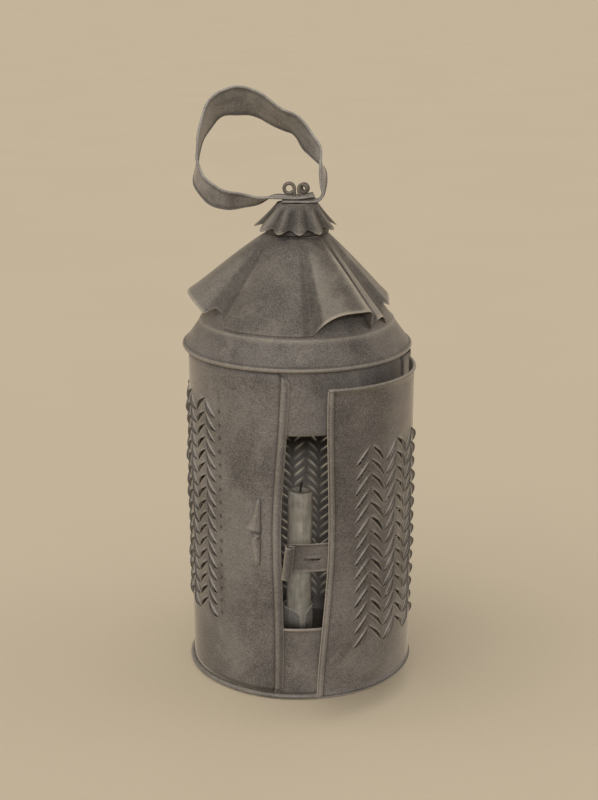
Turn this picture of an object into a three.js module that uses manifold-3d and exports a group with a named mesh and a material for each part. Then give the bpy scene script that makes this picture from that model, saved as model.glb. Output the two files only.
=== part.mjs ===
// Punched-tin candle lantern with a hinged door, a fluted vent hood and a strap ring handle.
// Millimetres, +Z up. The base underside is z = 0, the lantern's axis is x = y = 0, the front is -Y.
// Angles around the axis are in degrees from the front, positive towards +X.
import * as THREE from 'three';
import { mergeVertices } from 'three/addons/utils/BufferGeometryUtils.js';
import Module from 'manifold-3d';

const wasm = await Module();
wasm.setup();

// Sheet and fits
const tin = 0.6;
const gap = 0.35;
const roundStep = 7;
const roundSegments = 48;

// Body sheet
const shellRadius = 73;
const shellBottom = 4.5;
const shellTop = 223;
const hemWidth = 5;
const hemRise = 1;
const hemEdgeAngle = -5.6;
const hemLean = 1.9;
const hemCorner = 6;
const seamAngle = 232;

// Punched herringbone of the body
const armAngle = 9.2;
const spineAngle = 174.9;
const armsBeforeSpine = 9;
const armsAfterSpine = 15;
const punchBottom = 49;
const punchRows = 10;
const punchPitch = 14.3;
const punchSlope = 1;
const lipLift = 1.3;
const slitEndMargin = 0.13;

// Base, sill and head band
const baseBeadRadius = 1.8;
const baseThickness = 0.8;
const flangeHeight = 12;
const sillTop = 50;
const sillLeftAngle = -34;
const headBandBottom = 184;

// Door
const doorBottom = 17;
const doorTopDrop = 0.5;
const doorTop = shellTop - doorTopDrop;
const doorHemWidth = 3.8;
const doorBead = 1.3;
const doorBeadHeight = 2.2;
const doorFreeAngle = -14.5;
const doorLean = 2;
const doorAjar = 25.2;
const doorArmAngle = 9.3;
const doorFieldAngle = 2.5;
const doorArms = 6;
const doorPunchBottom = 52;
const doorPunchRows = 9;
const doorPunchPitch = 13.4;

// Door hinges
const hingeAngle = 78;
const knuckleRadius = 1.9;
const pinRadius = 0.9;
const knuckleHeight = 5;
const leafSpan = 8;
const leafRise = 0.4;
const webInset = 0.6;
const pinProud = 1.5;
const hingeInset = 31;
const hingeLevels = { lower: shellBottom + 1.21 * hingeInset, upper: shellTop - hingeInset };

// Hasp and staple
const haspLevel = 114.5;
const stapleShoulder = 4;
const stapleFold = 1.1;
const staplePlateHeight = 46;
const staplePlateWidth = 9.5;
const staplePlateEnd = 4.5;
const staplePlateDrop = 2.5;
const stapleAngle = -19.2;
const stapleTabWidth = 5;
const stapleTabReach = 4.9;
const stapleTabThickness = 1.2;
const haspLap = 7;
const haspReach = 21;
const haspBelow = 8;
const haspAbove = 11;
const haspBottom = haspLevel - haspBelow;
const haspTop = haspLevel + haspAbove;
const haspCurlRadius = 3;
const haspCurlBottom = haspBottom - 5.5;
const haspCurlTop = haspTop - 1;
const slotHeight = 2.4;
const slotLength = 12.2;
const slotInset = 1;
const slotLip = { height: 1.2, reach: 0.9, inset: 2 };
const haspCurlTurn = 300;

// Candle and socket
const candleRadius = 8.2;
const candleTop = 121.5;
const candleLean = 0.9;
const socketClearance = 1.5;
const socketHeight = 35;
const socketSeamAngle = 19;
const socketSeamWidth = 3.3;
const socketCornerRadius = 8;
const wickRadius = 0.8;
const wickHeight = 5.5;
const wickDepth = 3;
const socketShift = 0.8;

// Roof
const rimBeadRadius = 1.8;
const rimRise = 5.2;
const rimOverhang = 2.2;
const rimLevel = shellTop + rimRise;
const roofRimRadius = shellRadius + rimOverhang;
const skirtRun = 10.7;
const skirtRise = 16.8;
const ridgeRadius = roofRimRadius - skirtRun;
const ridgeLevel = rimLevel + skirtRise;
const ridgeBead = 0.8;
const roofTopRadius = 18;
const coneRise = 59;
const roofTopLevel = ridgeLevel + coneRise;

// Vent hood
const hoodCollar = 3;
const hoodTopRadius = roofTopRadius + hoodCollar;
const hoodRings = 48;
const hoodSwell = 0.85;
// Flutes stand out of the hood; a tuck draws its edge up the roof beside a flute. Left and right
// are angles from the crest down to a valley, and a higher power makes a steeper wall there.
const flutes = [
  { at: -90, left: 34, right: 30, lift: 16, spread: 9, leftPower: 2.5, rightPower: 5 },
  { at: 33, left: 24, right: 15, lift: 14.5, spread: 6.5, leftPower: 3, rightPower: 6 },
  { at: 57, left: 8, right: 9, lift: 6, spread: 1, leftPower: 2, rightPower: 2 },
  { at: 95, left: 20, right: 36, lift: 14, spread: -3.3, leftPower: 3, rightPower: 2.5 },
  { at: 196, left: 36, right: 36, lift: 15, spread: 7, leftPower: 2.5, rightPower: 2.5 },
];
const tucks = [
  { at: -60, left: 3, right: 11, draw: 5.5, leftPower: 2, rightPower: 2 },
  { at: 75, left: 7, right: 5, draw: 5.5, leftPower: 2, rightPower: 2 },
];
const flankStep = 3;

// Crown
const capLap = 3;
const capTaper = 8.6;
const capHeight = 18.2;
const capFootRadius = roofTopRadius + capLap;
const capFootLevel = roofTopLevel - tin;
const capTopRadius = capFootRadius - capTaper;
const capTopLevel = capFootLevel + capHeight;
const pleatCount = 12;
const ruffleFlare = 3.9;
const ruffleLift = 2.9;
const ruffleSeat = 1.2;
const ruffleFootRadius = capFootRadius + ruffleFlare;
const ruffleFootLevel = capFootLevel + ruffleLift;
const ruffleTopRadius = capTopRadius + ruffleSeat;
const pleatDepth = 2;

// Ring handle. The loop's outline is a rounded egg: four waves, each a size and a direction.
const loopRadius = 38.2;
const loopWaves = [
  { size: 7.9, at: -114.5 }, { size: 5.6, at: -35.3 }, { size: 3.5, at: -26.5 }, { size: 2.3, at: 44.9 },
];
const loopCentre = { across: -25.1, up: 37 };
const loopLeanBack = 31;
const loopFrom = -33;
const loopTo = 266;
const loopSteps = 22;
// How far the strap's face is canted out of square to the loop, at angles round the loop.
const loopCants = [
  { at: -33, cant: -12 }, { at: -20, cant: -4 }, { at: -3, cant: 22 }, { at: 12, cant: 22 },
  { at: 40, cant: 11 }, { at: 80, cant: 11 }, { at: 112, cant: 19 }, { at: 142, cant: 9 },
  { at: 170, cant: 0 }, { at: 192, cant: -4 }, { at: 212, cant: -20 }, { at: 232, cant: -30 },
  { at: 266, cant: -8 },
];
const strapThickness = 0.9;
const strapHem = 2;
const strapHemThickness = 1.9;
const strapWidth = 21;
const strapWidthSwing = 8.5;
const strapWidestAngle = 115;
const strapFlatRight = 9;
const strapFlatLeft = 16;
const strapUntwist = 14;
const strapTailLower = 10;
const strapTailUpper = 11;
const strapSteps = 42;

// Eye wire
const wireRadius = 1.1;
const curlRadius = 3.1;
const curlTurn = 300;
const wireSides = 6;
const curlSteps = 10;
const wireBight = 6;

// Derived places
const shellInner = shellRadius - tin;
const bandOuter = shellInner - gap - 0.15;
const bandInner = bandOuter - tin;
const haspInner = shellRadius + hemRise + gap;
const doorInner = haspInner + tin + gap;
const doorRadius = doorInner + tin;
const hingeRadius = doorRadius + leafRise;

const rad = THREE.MathUtils.degToRad;
const around = (radius, angle, z) =>
  new THREE.Vector3(radius * Math.sin(rad(angle)), -radius * Math.cos(rad(angle)), z);
const mix = (a, b, t) => a + (b - a) * t;
const arcAngle = (length, radius) => THREE.MathUtils.radToDeg(length / radius);
const smooth = (edge0, edge1, x) => THREE.MathUtils.smoothstep(x, edge0, edge1);
const loopPlane = rad(loopLeanBack);

// A closed mesh from points and triangles, turned so that its faces look outwards.
function closedMesh(points, triangles) {
  const position = new Float32Array(points.flatMap((p) => [p.x, p.y, p.z]));
  let volume = 0;
  for (const [a, b, c] of triangles) {
    volume += points[a].dot(points[b].clone().cross(points[c]));
  }
  const index = volume < 0 ? triangles.map(([a, b, c]) => [a, c, b]) : triangles;
  const geometry = new THREE.BufferGeometry();
  geometry.setAttribute('position', new THREE.BufferAttribute(position, 3));
  geometry.setIndex(index.flat());
  geometry.computeVertexNormals();
  return geometry;
}

// A body lofted through rings of points. A closed loft joins its last ring to its first.
function loft(rings, { closed = false, section = null } = {}) {
  const count = rings[0].length;
  const triangles = [];
  const spans = closed ? rings.length : rings.length - 1;
  for (let i = 0; i < spans; i += 1) {
    const here = i * count;
    const next = ((i + 1) % rings.length) * count;
    for (let j = 0; j < count; j += 1) {
      const k = (j + 1) % count;
      triangles.push([here + j, next + j, next + k], [here + j, next + k, here + k]);
    }
  }
  if (!closed) {
    const square = [[0, 0], [1, 0], [1, 1], [0, 1]].map(([u, v]) => new THREE.Vector2(u, v));
    const outline = section ?? square;
    const last = (rings.length - 1) * count;
    for (const [a, b, c] of THREE.ShapeUtils.triangulateShape(outline, [])) {
      triangles.push([a, b, c], [last + a, last + c, last + b]);
    }
  }
  return closedMesh(rings.flat(), triangles);
}

// A turned body: the profile is a list of [radius, z] that closes on itself or ends on the axis.
function turned(profile, segments = roundSegments) {
  const outline = profile.map(([r, z]) => new THREE.Vector2(r, z));
  const onAxis = profile[0][0] === 0 && profile.at(-1)[0] === 0;
  if (!onAxis) {
    outline.push(outline[0].clone());
  }
  const lathe = new THREE.LatheGeometry(outline, segments).rotateX(Math.PI / 2);
  lathe.deleteAttribute('normal');
  lathe.deleteAttribute('uv');
  const merged = mergeVertices(lathe, 1e-3);
  const at = merged.getAttribute('position');
  const points = Array.from({ length: at.count }, (_, i) => new THREE.Vector3().fromBufferAttribute(at, i));
  const triangles = [];
  const index = merged.getIndex().array;
  for (let i = 0; i < index.length; i += 3) {
    const [a, b, c] = index.slice(i, i + 3);
    if (a !== b && b !== c && c !== a) {
      triangles.push([a, b, c]);
    }
  }
  return closedMesh(points, triangles);
}

// Arc points of a bead's section, as [radius, z].
function beadArc(radius, z, size, from, to, steps) {
  return Array.from({ length: steps + 1 }, (_, i) => {
    const a = rad(mix(from, to, i / steps));
    return [radius + size * Math.cos(a), z + size * Math.sin(a)];
  });
}

function toSolid(geometry) {
  const bare = geometry.clone();
  bare.deleteAttribute('normal');
  bare.deleteAttribute('uv');
  const merged = mergeVertices(bare, 1e-3);
  return new wasm.Manifold(new wasm.Mesh({
    numProp: 3,
    vertProperties: new Float32Array(merged.getAttribute('position').array),
    triVerts: new Uint32Array(merged.getIndex().array),
  }));
}

function fromSolid(solid) {
  const mesh = solid.getMesh();
  const geometry = new THREE.BufferGeometry();
  geometry.setAttribute('position', new THREE.BufferAttribute(new Float32Array(mesh.vertProperties), 3));
  geometry.setIndex(Array.from(mesh.triVerts));
  geometry.computeVertexNormals();
  return geometry;
}

const joined = (...parts) => fromSolid(parts.map(toSolid).reduce((a, b) => a.add(b)));
const cut = (body, ...tools) =>
  fromSolid(tools.map(toSolid).reduce((a, b) => a.subtract(b), toSolid(body)));

const extruded = (shape, z0, z1, curveSegments = 6) => new THREE
  .ExtrudeGeometry(shape, { depth: z1 - z0, bevelEnabled: false, curveSegments })
  .translate(0, 0, z0);

// A flat outline in the plan view, from arcs around the lantern's axis.
function arcPlate(inner, outer, from, to) {
  const steps = Math.max(2, Math.ceil(Math.abs(to - from) / roundStep) * 2);
  const side = (radius, a, b) =>
    Array.from({ length: steps + 1 }, (_, i) => around(radius, mix(a, b, i / steps), 0));
  const outline = [...side(outer, from, to), ...side(inner, to, from)];
  return new THREE.Shape(outline.map((p) => new THREE.Vector2(p.x, p.y)));
}

// A sheet bent round the axis. Columns run round it and rows run up it; a cell that is punched
// has a slit whose upper lip is pushed outwards.
function bentSheet({ outer, columns, rows, angleAt, levelAt, riseAt, punched }) {
  const points = [];
  const triangles = [];
  const put = (p) => points.push(p) - 1;
  const grid = [0, tin].map((depth) => columns.map((_, c) => rows.map((_row, r) => {
    const radius = outer - depth + (depth === 0 ? riseAt(c, r) : 0);
    return put(around(radius, angleAt(c, r), levelAt(c, r)));
  })));
  const quad = (a, b, c, d) => triangles.push([a, b, c], [a, c, d]);
  const inCell = (c, r, u, w, lift, depth) => {
    const inside = (of) => mix(mix(of(c, r), of(c + 1, r), u), mix(of(c, r + 1), of(c + 1, r + 1), u), w);
    const chord = mix(1, Math.cos(rad((angleAt(c + 1, r) - angleAt(c, r)) / 2)), 4 * u * (1 - u));
    return put(around((outer - depth) * chord + lift, inside(angleAt), inside(levelAt)));
  };
  for (let c = 0; c + 1 < columns.length; c += 1) {
    for (let r = 0; r + 1 < rows.length; r += 1) {
      const corners = (side) => [side[c][r], side[c + 1][r], side[c + 1][r + 1], side[c][r + 1]];
      const [oa, ob, oc, od] = corners(grid[0]);
      const [ia, ib, ic, id] = corners(grid[1]);
      if (punched(c, r)) {
        const slit = [0, tin].map((depth) => [
          inCell(c, r, slitEndMargin, 0.4, 0, depth),
          inCell(c, r, 1 - slitEndMargin, 0.4, 0, depth),
          inCell(c, r, 0.5, 0.56, lipLift, depth),
        ]);
        slit.forEach(([left, right, lip], side) => {
          const [a, b, cc, d] = side === 0 ? [oa, ob, oc, od] : [ia, ib, ic, id];
          const faces = [[a, b, right], [a, right, left], [b, cc, right], [cc, lip, right],
            [cc, d, lip], [d, left, lip], [d, a, left]];
          triangles.push(...(side === 0 ? faces : faces.map(([p, q, s]) => [p, s, q])));
        });
        const [outerSlit, innerSlit] = slit;
        for (let k = 0; k < 3; k += 1) {
          const n = (k + 1) % 3;
          quad(outerSlit[k], outerSlit[n], innerSlit[n], innerSlit[k]);
        }
      } else {
        quad(oa, ob, oc, od);
        quad(ia, id, ic, ib);
      }
    }
  }
  const lastColumn = columns.length - 1;
  const lastRow = rows.length - 1;
  const [front, behind] = grid;
  for (let r = 0; r < lastRow; r += 1) {
    quad(behind[0][r], front[0][r], front[0][r + 1], behind[0][r + 1]);
    quad(front[lastColumn][r], behind[lastColumn][r], behind[lastColumn][r + 1], front[lastColumn][r + 1]);
  }
  for (let c = 0; c < lastColumn; c += 1) {
    quad(behind[c][0], behind[c + 1][0], front[c + 1][0], front[c][0]);
    quad(front[c][lastRow], front[c + 1][lastRow], behind[c + 1][lastRow], behind[c][lastRow]);
  }
  return closedMesh(points, triangles);
}

// Even steps between two angles, both ends left out.
function between(from, to) {
  const count = Math.max(1, Math.round(Math.abs(to - from) / roundStep));
  return Array.from({ length: count - 1 }, (_, i) => mix(from, to, (i + 1) / count));
}

// Herringbone columns and rows, where every second column is a spine and stands higher.
function herringbone(field, plainStart, plainEnd, bottom, top) {
  const spines = Array.from({ length: field.arms + 1 }, (_, i) => ({
    angle: field.start + i * field.arm,
    raise: ((i % 2 === 0) === field.startsHigh ? 0.5 : -0.5) * field.slopeHeight,
    fieldColumn: true,
  }));
  const plain = (angles) => angles.map((angle) => ({ angle, raise: 0, fieldColumn: false }));
  const columns = [...plain(plainStart), ...spines, ...plain(plainEnd)];
  const levels = Array.from({ length: field.rows + 1 }, (_, i) => field.bottom + i * field.pitch);
  const rows = [bottom, ...levels, top].flat();
  const firstField = [bottom].flat().length;
  const inField = (r) => r >= firstField && r < firstField + levels.length;
  return {
    columns,
    rows,
    levelAt: (c, r) => rows[r] + (inField(r) ? columns[c].raise : 0),
    punched: (c, r) => columns[c].fieldColumn && columns[c + 1].fieldColumn && inField(r) && inField(r + 1),
  };
}

const bodyField = (startStep, arms) => ({
  start: spineAngle + startStep * armAngle,
  arm: armAngle,
  arms,
  startsHigh: startStep % 2 === 0,
  rows: punchRows,
  bottom: punchBottom + 0.5 * punchSlope * rad(armAngle) * shellRadius,
  pitch: punchPitch,
  slopeHeight: punchSlope * rad(armAngle) * shellRadius,
});

// The front-left sheet, from the hemmed door edge round to the seam at the back.
// Its angles run on past 180, so the hem's edge is 360 degrees higher than it reads.
function bodySheetLeft() {
  const edge = 360 + hemEdgeAngle;
  const hem = arcAngle(hemWidth, shellRadius);
  const seamStep = Math.round((seamAngle - spineAngle) / armAngle);
  const field = bodyField(seamStep, armsAfterSpine - seamStep);
  const fieldEnd = field.start + field.arms * field.arm;
  const step = arcAngle(0.2, shellRadius);
  const seamMargin = field.start - arcAngle(2, shellRadius);
  const net = herringbone(
    field,
    [seamMargin],
    [...between(fieldEnd, edge - hem), edge - hem, edge - hem + step, edge],
    [shellBottom, shellBottom + hemCorner],
    [shellTop - hemCorner, shellTop],
  );
  const hemFrom = net.columns.length - 2;
  const last = net.columns.length - 1;
  const leanAt = (r) => hemLean * (2 * (net.rows[r] - shellBottom) / (shellTop - shellBottom) - 1);
  const cornerAt = (r) => (r === 0 || r === net.rows.length - 1 ? hem * 0.55 : 0);
  return bentSheet({
    outer: shellRadius,
    ...net,
    angleAt: (c, r) => net.columns[c].angle
      + (c >= hemFrom - 1 ? leanAt(r) : 0) - (c === last ? cornerAt(r) : 0),
    riseAt: (c) => (c >= hemFrom ? hemRise : 0),
  });
}

// The sheet round the back and the right, from the seam to where the closed door laps it.
function bodySheetRight() {
  const seamStep = Math.round((seamAngle - spineAngle) / armAngle);
  const field = bodyField(-armsBeforeSpine, armsBeforeSpine + seamStep);
  const fieldEnd = field.start + field.arms * field.arm;
  const lapEdge = hingeAngle - 6;
  const net = herringbone(
    field,
    [lapEdge, ...between(lapEdge, field.start)],
    [],
    [shellBottom],
    [shellTop],
  );
  const seamEnd = fieldEnd - arcAngle(2, shellRadius) - arcAngle(gap, shellRadius);
  const last = net.columns.length - 1;
  return bentSheet({
    outer: shellRadius,
    ...net,
    punched: (c, r) => net.punched(c, r) && c + 1 < last,
    angleAt: (c) => (c === last ? seamEnd : net.columns[c].angle),
    riseAt: () => 0,
  });
}

function doorPanel() {
  const hem = arcAngle(doorHemWidth, doorRadius);
  const step = arcAngle(0.2, doorRadius);
  const hingeEdge = hingeAngle - arcAngle(knuckleRadius + gap, hingeRadius) - 0.1;
  const slopeHeight = punchSlope * rad(doorArmAngle) * doorRadius;
  const field = {
    start: doorFieldAngle,
    arm: doorArmAngle,
    arms: doorArms,
    startsHigh: false,
    rows: doorPunchRows,
    bottom: doorPunchBottom + 0.5 * slopeHeight,
    pitch: doorPunchPitch,
    slopeHeight,
  };
  const fieldEnd = doorFieldAngle + doorArms * doorArmAngle;
  const net = herringbone(
    field,
    [doorFreeAngle, doorFreeAngle + hem, doorFreeAngle + hem + step,
      ...between(doorFreeAngle + hem + step, doorFieldAngle)],
    [...between(fieldEnd, hingeEdge), hingeEdge],
    [doorBottom, doorBottom + doorBeadHeight, doorBottom + doorBeadHeight + 0.2],
    [doorTop - doorBeadHeight - 0.2, doorTop - doorBeadHeight, doorTop],
  );
  const lastRow = net.rows.length - 1;
  const leanAt = (r) => doorLean * (2 * (net.rows[r] - doorBottom) / (doorTop - doorBottom) - 1);
  const beadRow = (r) => r <= 1 || r >= lastRow - 1;
  return bentSheet({
    outer: doorRadius,
    ...net,
    angleAt: (c, r) => net.columns[c].angle + (c <= 2 ? leanAt(r) : 0),
    riseAt: (c, r) => (c <= 1 || beadRow(r) ? doorBead : 0),
  });
}

// A band of sheet bent round the axis. Its edges can be a function of the angle.
function band(inner, outer, from, to, bottom, top, { closed = false, step = 360 / roundSegments } = {}) {
  const steps = Math.max(2, Math.round(Math.abs(to - from) / step));
  const rings = Array.from({ length: closed ? steps : steps + 1 }, (_, i) => {
    const angle = mix(from, to, i / steps);
    const low = bottom(angle);
    const high = top(angle);
    return [[inner, low], [outer, low], [outer, high], [inner, high]]
      .map(([radius, z]) => around(radius, angle, z));
  });
  return loft(rings, { closed });
}

// The roof's outer surface is a cone from the ridge to the top; a steeper skirt runs below the ridge.
const roofSlope = (roofTopLevel - ridgeLevel) / (ridgeRadius - roofTopRadius);
const skirtSlope = (ridgeLevel - rimLevel - rimBeadRadius) / (roofRimRadius - ridgeRadius);
const roofDrop = tin * Math.hypot(1, roofSlope);
const skirtDrop = tin * Math.hypot(1, skirtSlope);
const roofAt = (radius) => (radius > ridgeRadius
  ? ridgeLevel + (ridgeRadius - radius) * skirtSlope
  : ridgeLevel + (ridgeRadius - radius) * roofSlope);

function basePan() {
  const beadAt = shellRadius + 1;
  const flangeOuter = bandInner - gap;
  return turned([
    [0, 0],
    ...beadArc(beadAt, baseBeadRadius, baseBeadRadius, -90, 180, 5),
    [flangeOuter, baseBeadRadius],
    [flangeOuter, flangeHeight],
    [flangeOuter - tin, flangeHeight],
    [flangeOuter - tin, baseThickness],
    [0, baseThickness],
  ]);
}

function headBand() {
  const top = roofAt(bandOuter) - skirtDrop - gap;
  return band(bandInner, bandOuter, 0, 360, () => headBandBottom, () => top, { closed: true });
}

function doorSill() {
  const bottom = baseBeadRadius + gap;
  return band(bandInner, bandOuter, sillLeftAngle, hingeAngle, () => bottom, () => sillTop);
}

function roofCone() {
  const rim = beadArc(roofRimRadius, rimLevel, rimBeadRadius, 100, -200, 5);
  const skirtFoot = roofRimRadius - rimBeadRadius;
  const ridge = beadArc(ridgeRadius + 0.5, ridgeLevel - 0.4, ridgeBead, -40, 130, 3);
  return turned([
    ...rim,
    [skirtFoot, roofAt(skirtFoot) - skirtDrop],
    [ridgeRadius, ridgeLevel - skirtDrop],
    [roofTopRadius, roofTopLevel - roofDrop],
    [roofTopRadius, roofTopLevel],
    [ridgeRadius - 0.7, roofAt(ridgeRadius - 0.7)],
    ...ridge.reverse(),
  ]);
}

// The hood rests on the roof cone between its flutes and lifts clear of it along each flute.
function ventHood() {
  const steps = 4;
  const even = Array.from({ length: hoodRings }, (_, i) => i * 360 / hoodRings - 180);
  const flanks = flutes.flatMap(({ at, left, right }) =>
    [at - left, at - left + flankStep, at + right - flankStep, at + right]);
  const angles = [...new Set([...even, ...flanks.map((a) => ((a + 540) % 360) - 180)])].sort((a, b) => a - b);
  const seatGap = gap * Math.hypot(1, roofSlope);
  const rings = angles.map((angle) => {
    const share = ({ at: crest, left, right, leftPower, rightPower }) => {
      const off = ((angle - crest + 540) % 360) - 180;
      const out = Math.abs(off) / (off < 0 ? left : right);
      return out < 1 ? 1 - out ** (off < 0 ? leftPower : rightPower) : 0;
    };
    const up = flutes.reduce((sum, flute) => sum + share(flute) * flute.lift, 0);
    const out = flutes.reduce((sum, flute) => sum + share(flute) * flute.spread, 0);
    const edge = ridgeRadius - 1 - tucks.reduce((sum, tuck) => sum + share(tuck) * tuck.draw, 0);
    const at = (t, thick) => {
      const radius = mix(hoodTopRadius, edge, t);
      const level = roofAt(radius) + seatGap + thick * Math.hypot(1, roofSlope);
      return around(radius + out * t ** hoodSwell, angle, level + up * t ** hoodSwell);
    };
    const outerSide = Array.from({ length: steps }, (_, i) => at(i / (steps - 1), tin));
    const innerSide = Array.from({ length: steps }, (_, i) => at(1 - i / (steps - 1), 0));
    return [...outerSide, ...innerSide];
  });
  return loft(rings, { closed: true });
}

function crownCap() {
  const bore = wireBight / 2 + gap;
  return turned([
    [bore, capTopLevel],
    [capTopRadius, capTopLevel],
    [capFootRadius, capFootLevel],
    [capFootRadius - tin, capFootLevel - 0.2],
    [capTopRadius - tin, capTopLevel - tin - 0.2],
    [bore, capTopLevel - tin],
  ], roundSegments / 2);
}

function crownRuffle() {
  const steps = 3;
  const capSlope = (capTopLevel - capFootLevel) / (capFootRadius - capTopRadius);
  const seat = pleatDepth + gap;
  const ruffleTopLevel = capTopLevel + gap;
  const rings = Array.from({ length: pleatCount * 4 }, (_, i) => {
    const angle = i * 90 / pleatCount;
    const wave = Math.cos(rad(angle * pleatCount));
    const at = (t, thick) => {
      const radius = mix(ruffleTopRadius, ruffleFootRadius, t ** 1.2) + seat * t * 0.2 + thick;
      const level = mix(ruffleTopLevel, ruffleFootLevel, t) + thick / capSlope * t;
      return around(radius + wave * pleatDepth * t ** 0.7, angle, level - wave * 0.6 * t);
    };
    const outerSide = Array.from({ length: steps }, (_, k) => at(k / (steps - 1), tin));
    const innerSide = Array.from({ length: steps }, (_, k) => at(1 - k / (steps - 1), 0));
    return [...outerSide, ...innerSide];
  });
  return loft(rings, { closed: true });
}

// The strap runs flat across the crown, bends up into a loop in a plane that leans back,
// and comes home over its own start.
const strapSeat = capTopLevel + 2 * gap + strapHemThickness / 2;
const layerStep = strapHemThickness + gap;

function loopRadiusAt(angle) {
  const wave = ({ size, at }, k) => size * Math.cos((k + 1) * rad(angle - at));
  return loopWaves.reduce((sum, each, k) => sum + wave(each, k), loopRadius);
}

function loopCantAt(angle) {
  const next = loopCants.findIndex(({ at }) => at >= angle);
  if (next <= 0) return (next === 0 ? loopCants[0] : loopCants.at(-1)).cant;
  const [from, to] = loopCants.slice(next - 1, next + 1);
  return mix(from.cant, to.cant, smooth(from.at, to.at, angle));
}

// The route in the leaning plane, across and up from the foot, with how high its layer lies.
function strapRoute() {
  const onLoop = (angle) => [
    loopCentre.across + loopRadiusAt(angle) * Math.cos(rad(angle)),
    loopCentre.up + loopRadiusAt(angle) * Math.sin(rad(angle)),
  ];
  const [startAcross, startUp] = onLoop(loopFrom);
  const corner = new THREE.CubicBezierCurve(
    new THREE.Vector2(strapFlatRight, 0),
    new THREE.Vector2(startAcross - 1, 0),
    new THREE.Vector2(startAcross, startUp * 0.35),
    new THREE.Vector2(startAcross, startUp),
  );
  const loop = Array.from({ length: loopSteps }, (_, i) =>
    onLoop(mix(loopFrom, loopTo, (i + 1) / loopSteps)));
  const route = [
    [-strapTailLower, 0], [0, 0], [strapFlatRight, 0],
    ...[0.3, 0.6, 1].map((t) => corner.getPoint(t).toArray()),
    ...loop,
    [-strapFlatLeft, 0], [0, 0], [strapTailUpper, 0],
  ];
  return route.map(([across, up], i) => new THREE.Vector3(
    across,
    up * Math.sin(loopPlane),
    strapSeat + up * Math.cos(loopPlane) + (i >= route.length - 3 ? layerStep : 0),
  ));
}

function ringStrap() {
  const route = new THREE.CatmullRomCurve3(strapRoute(), false, 'centripetal');
  const centres = route.getSpacedPoints(strapSteps);
  const length = route.getLength();
  const half = strapHemThickness / 2;
  const web = strapThickness / 2;
  const outline = (width) => {
    const low = [
      [-width / 2, -half], [-width / 2 + strapHem - 0.3, -half], [-width / 2 + strapHem, -web],
      [width / 2 - strapHem, -web], [width / 2 - strapHem + 0.3, -half], [width / 2, -half],
    ];
    return [...low, ...low.map(([u, v]) => [u, -v]).reverse()];
  };
  const rings = centres.map((centre, i) => {
    const along = centres[Math.min(strapSteps, i + 1)].clone().sub(centres[Math.max(0, i - 1)]).normalize();
    const fromStart = i * length / strapSteps - strapTailLower;
    const fromEnd = length - strapTailUpper - i * length / strapSteps;
    const fromFoot = Math.min(Math.abs(fromStart), Math.abs(fromEnd));
    const flat = 1 - smooth(capTopRadius + 1, capTopRadius + 1 + strapUntwist, fromFoot);
    const bearing = THREE.MathUtils.radToDeg(Math.atan2(
      (centre.z - strapSeat) / Math.cos(loopPlane) - loopCentre.up,
      centre.x - loopCentre.across,
    ));
    const angle = bearing < (loopFrom + loopTo) / 2 - 180 ? bearing + 360 : bearing;
    const planeNormal = new THREE.Vector3(0, -Math.cos(loopPlane), Math.sin(loopPlane));
    const cant = rad(loopCantAt(angle));
    const across = planeNormal.clone().multiplyScalar(Math.cos(cant))
      .addScaledVector(along.clone().cross(planeNormal), Math.sin(cant))
      .lerp(new THREE.Vector3(0, -1, 0), flat);
    const face = along.clone().cross(across).normalize();
    const side = face.clone().cross(along).normalize();
    const width = strapWidth + strapWidthSwing * Math.cos(rad(angle - strapWidestAngle));
    return outline(width).map(([u, v]) => centre.clone().addScaledVector(side, u).addScaledVector(face, v));
  });
  const section = outline(strapWidth).map(([u, v]) => new THREE.Vector2(u, v));
  const bore = wireBight / 2 + gap;
  const hole = new THREE.CylinderGeometry(bore, bore, 4 * layerStep, 16).rotateX(Math.PI / 2);
  return cut(loft(rings, { section }), hole.translate(0, 0, strapSeat));
}

// One wire bent double: the bight hangs under the cap and both ends curl over the strap.
function eyeWire() {
  const legX = wireBight / 2 - wireRadius;
  const top = strapSeat + layerStep + strapHemThickness / 2 + gap + wireRadius + curlRadius;
  const bottom = capTopLevel - tin - gap - wireRadius - legX;
  const side = [];
  for (let i = curlSteps; i >= 0; i -= 1) {
    const share = i / curlSteps;
    const a = rad(curlTurn * share);
    const r = curlRadius * (1 - 0.12 * share);
    side.push(new THREE.Vector3(legX + curlRadius - r * Math.cos(a), 0, top + r * Math.sin(a)));
  }
  side.push(new THREE.Vector3(legX, 0, mix(top, bottom, 0.5)));
  const bight = Array.from({ length: 7 }, (_, i) => {
    const a = rad(180 * i / 6);
    return new THREE.Vector3(legX * Math.cos(a), 0, bottom - legX * Math.sin(a));
  });
  const mirrored = side.slice().reverse().map((p) => new THREE.Vector3(-p.x, 0, p.z));
  const path = [...side, ...bight, ...mirrored];
  const rings = path.map((p, i) => {
    const along = path[Math.min(path.length - 1, i + 1)].clone().sub(path[Math.max(0, i - 1)]).normalize();
    const inPlane = along.clone().cross(new THREE.Vector3(0, 1, 0));
    return Array.from({ length: wireSides }, (_, k) => {
      const a = 2 * Math.PI * k / wireSides;
      return p.clone().addScaledVector(inPlane, wireRadius * Math.cos(a))
        .add(new THREE.Vector3(0, wireRadius * Math.sin(a), 0));
    });
  });
  const section = Array.from({ length: wireSides }, (_, k) => {
    const a = 2 * Math.PI * k / wireSides;
    return new THREE.Vector2(Math.cos(a), Math.sin(a));
  });
  return loft(rings, { section });
}

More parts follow.
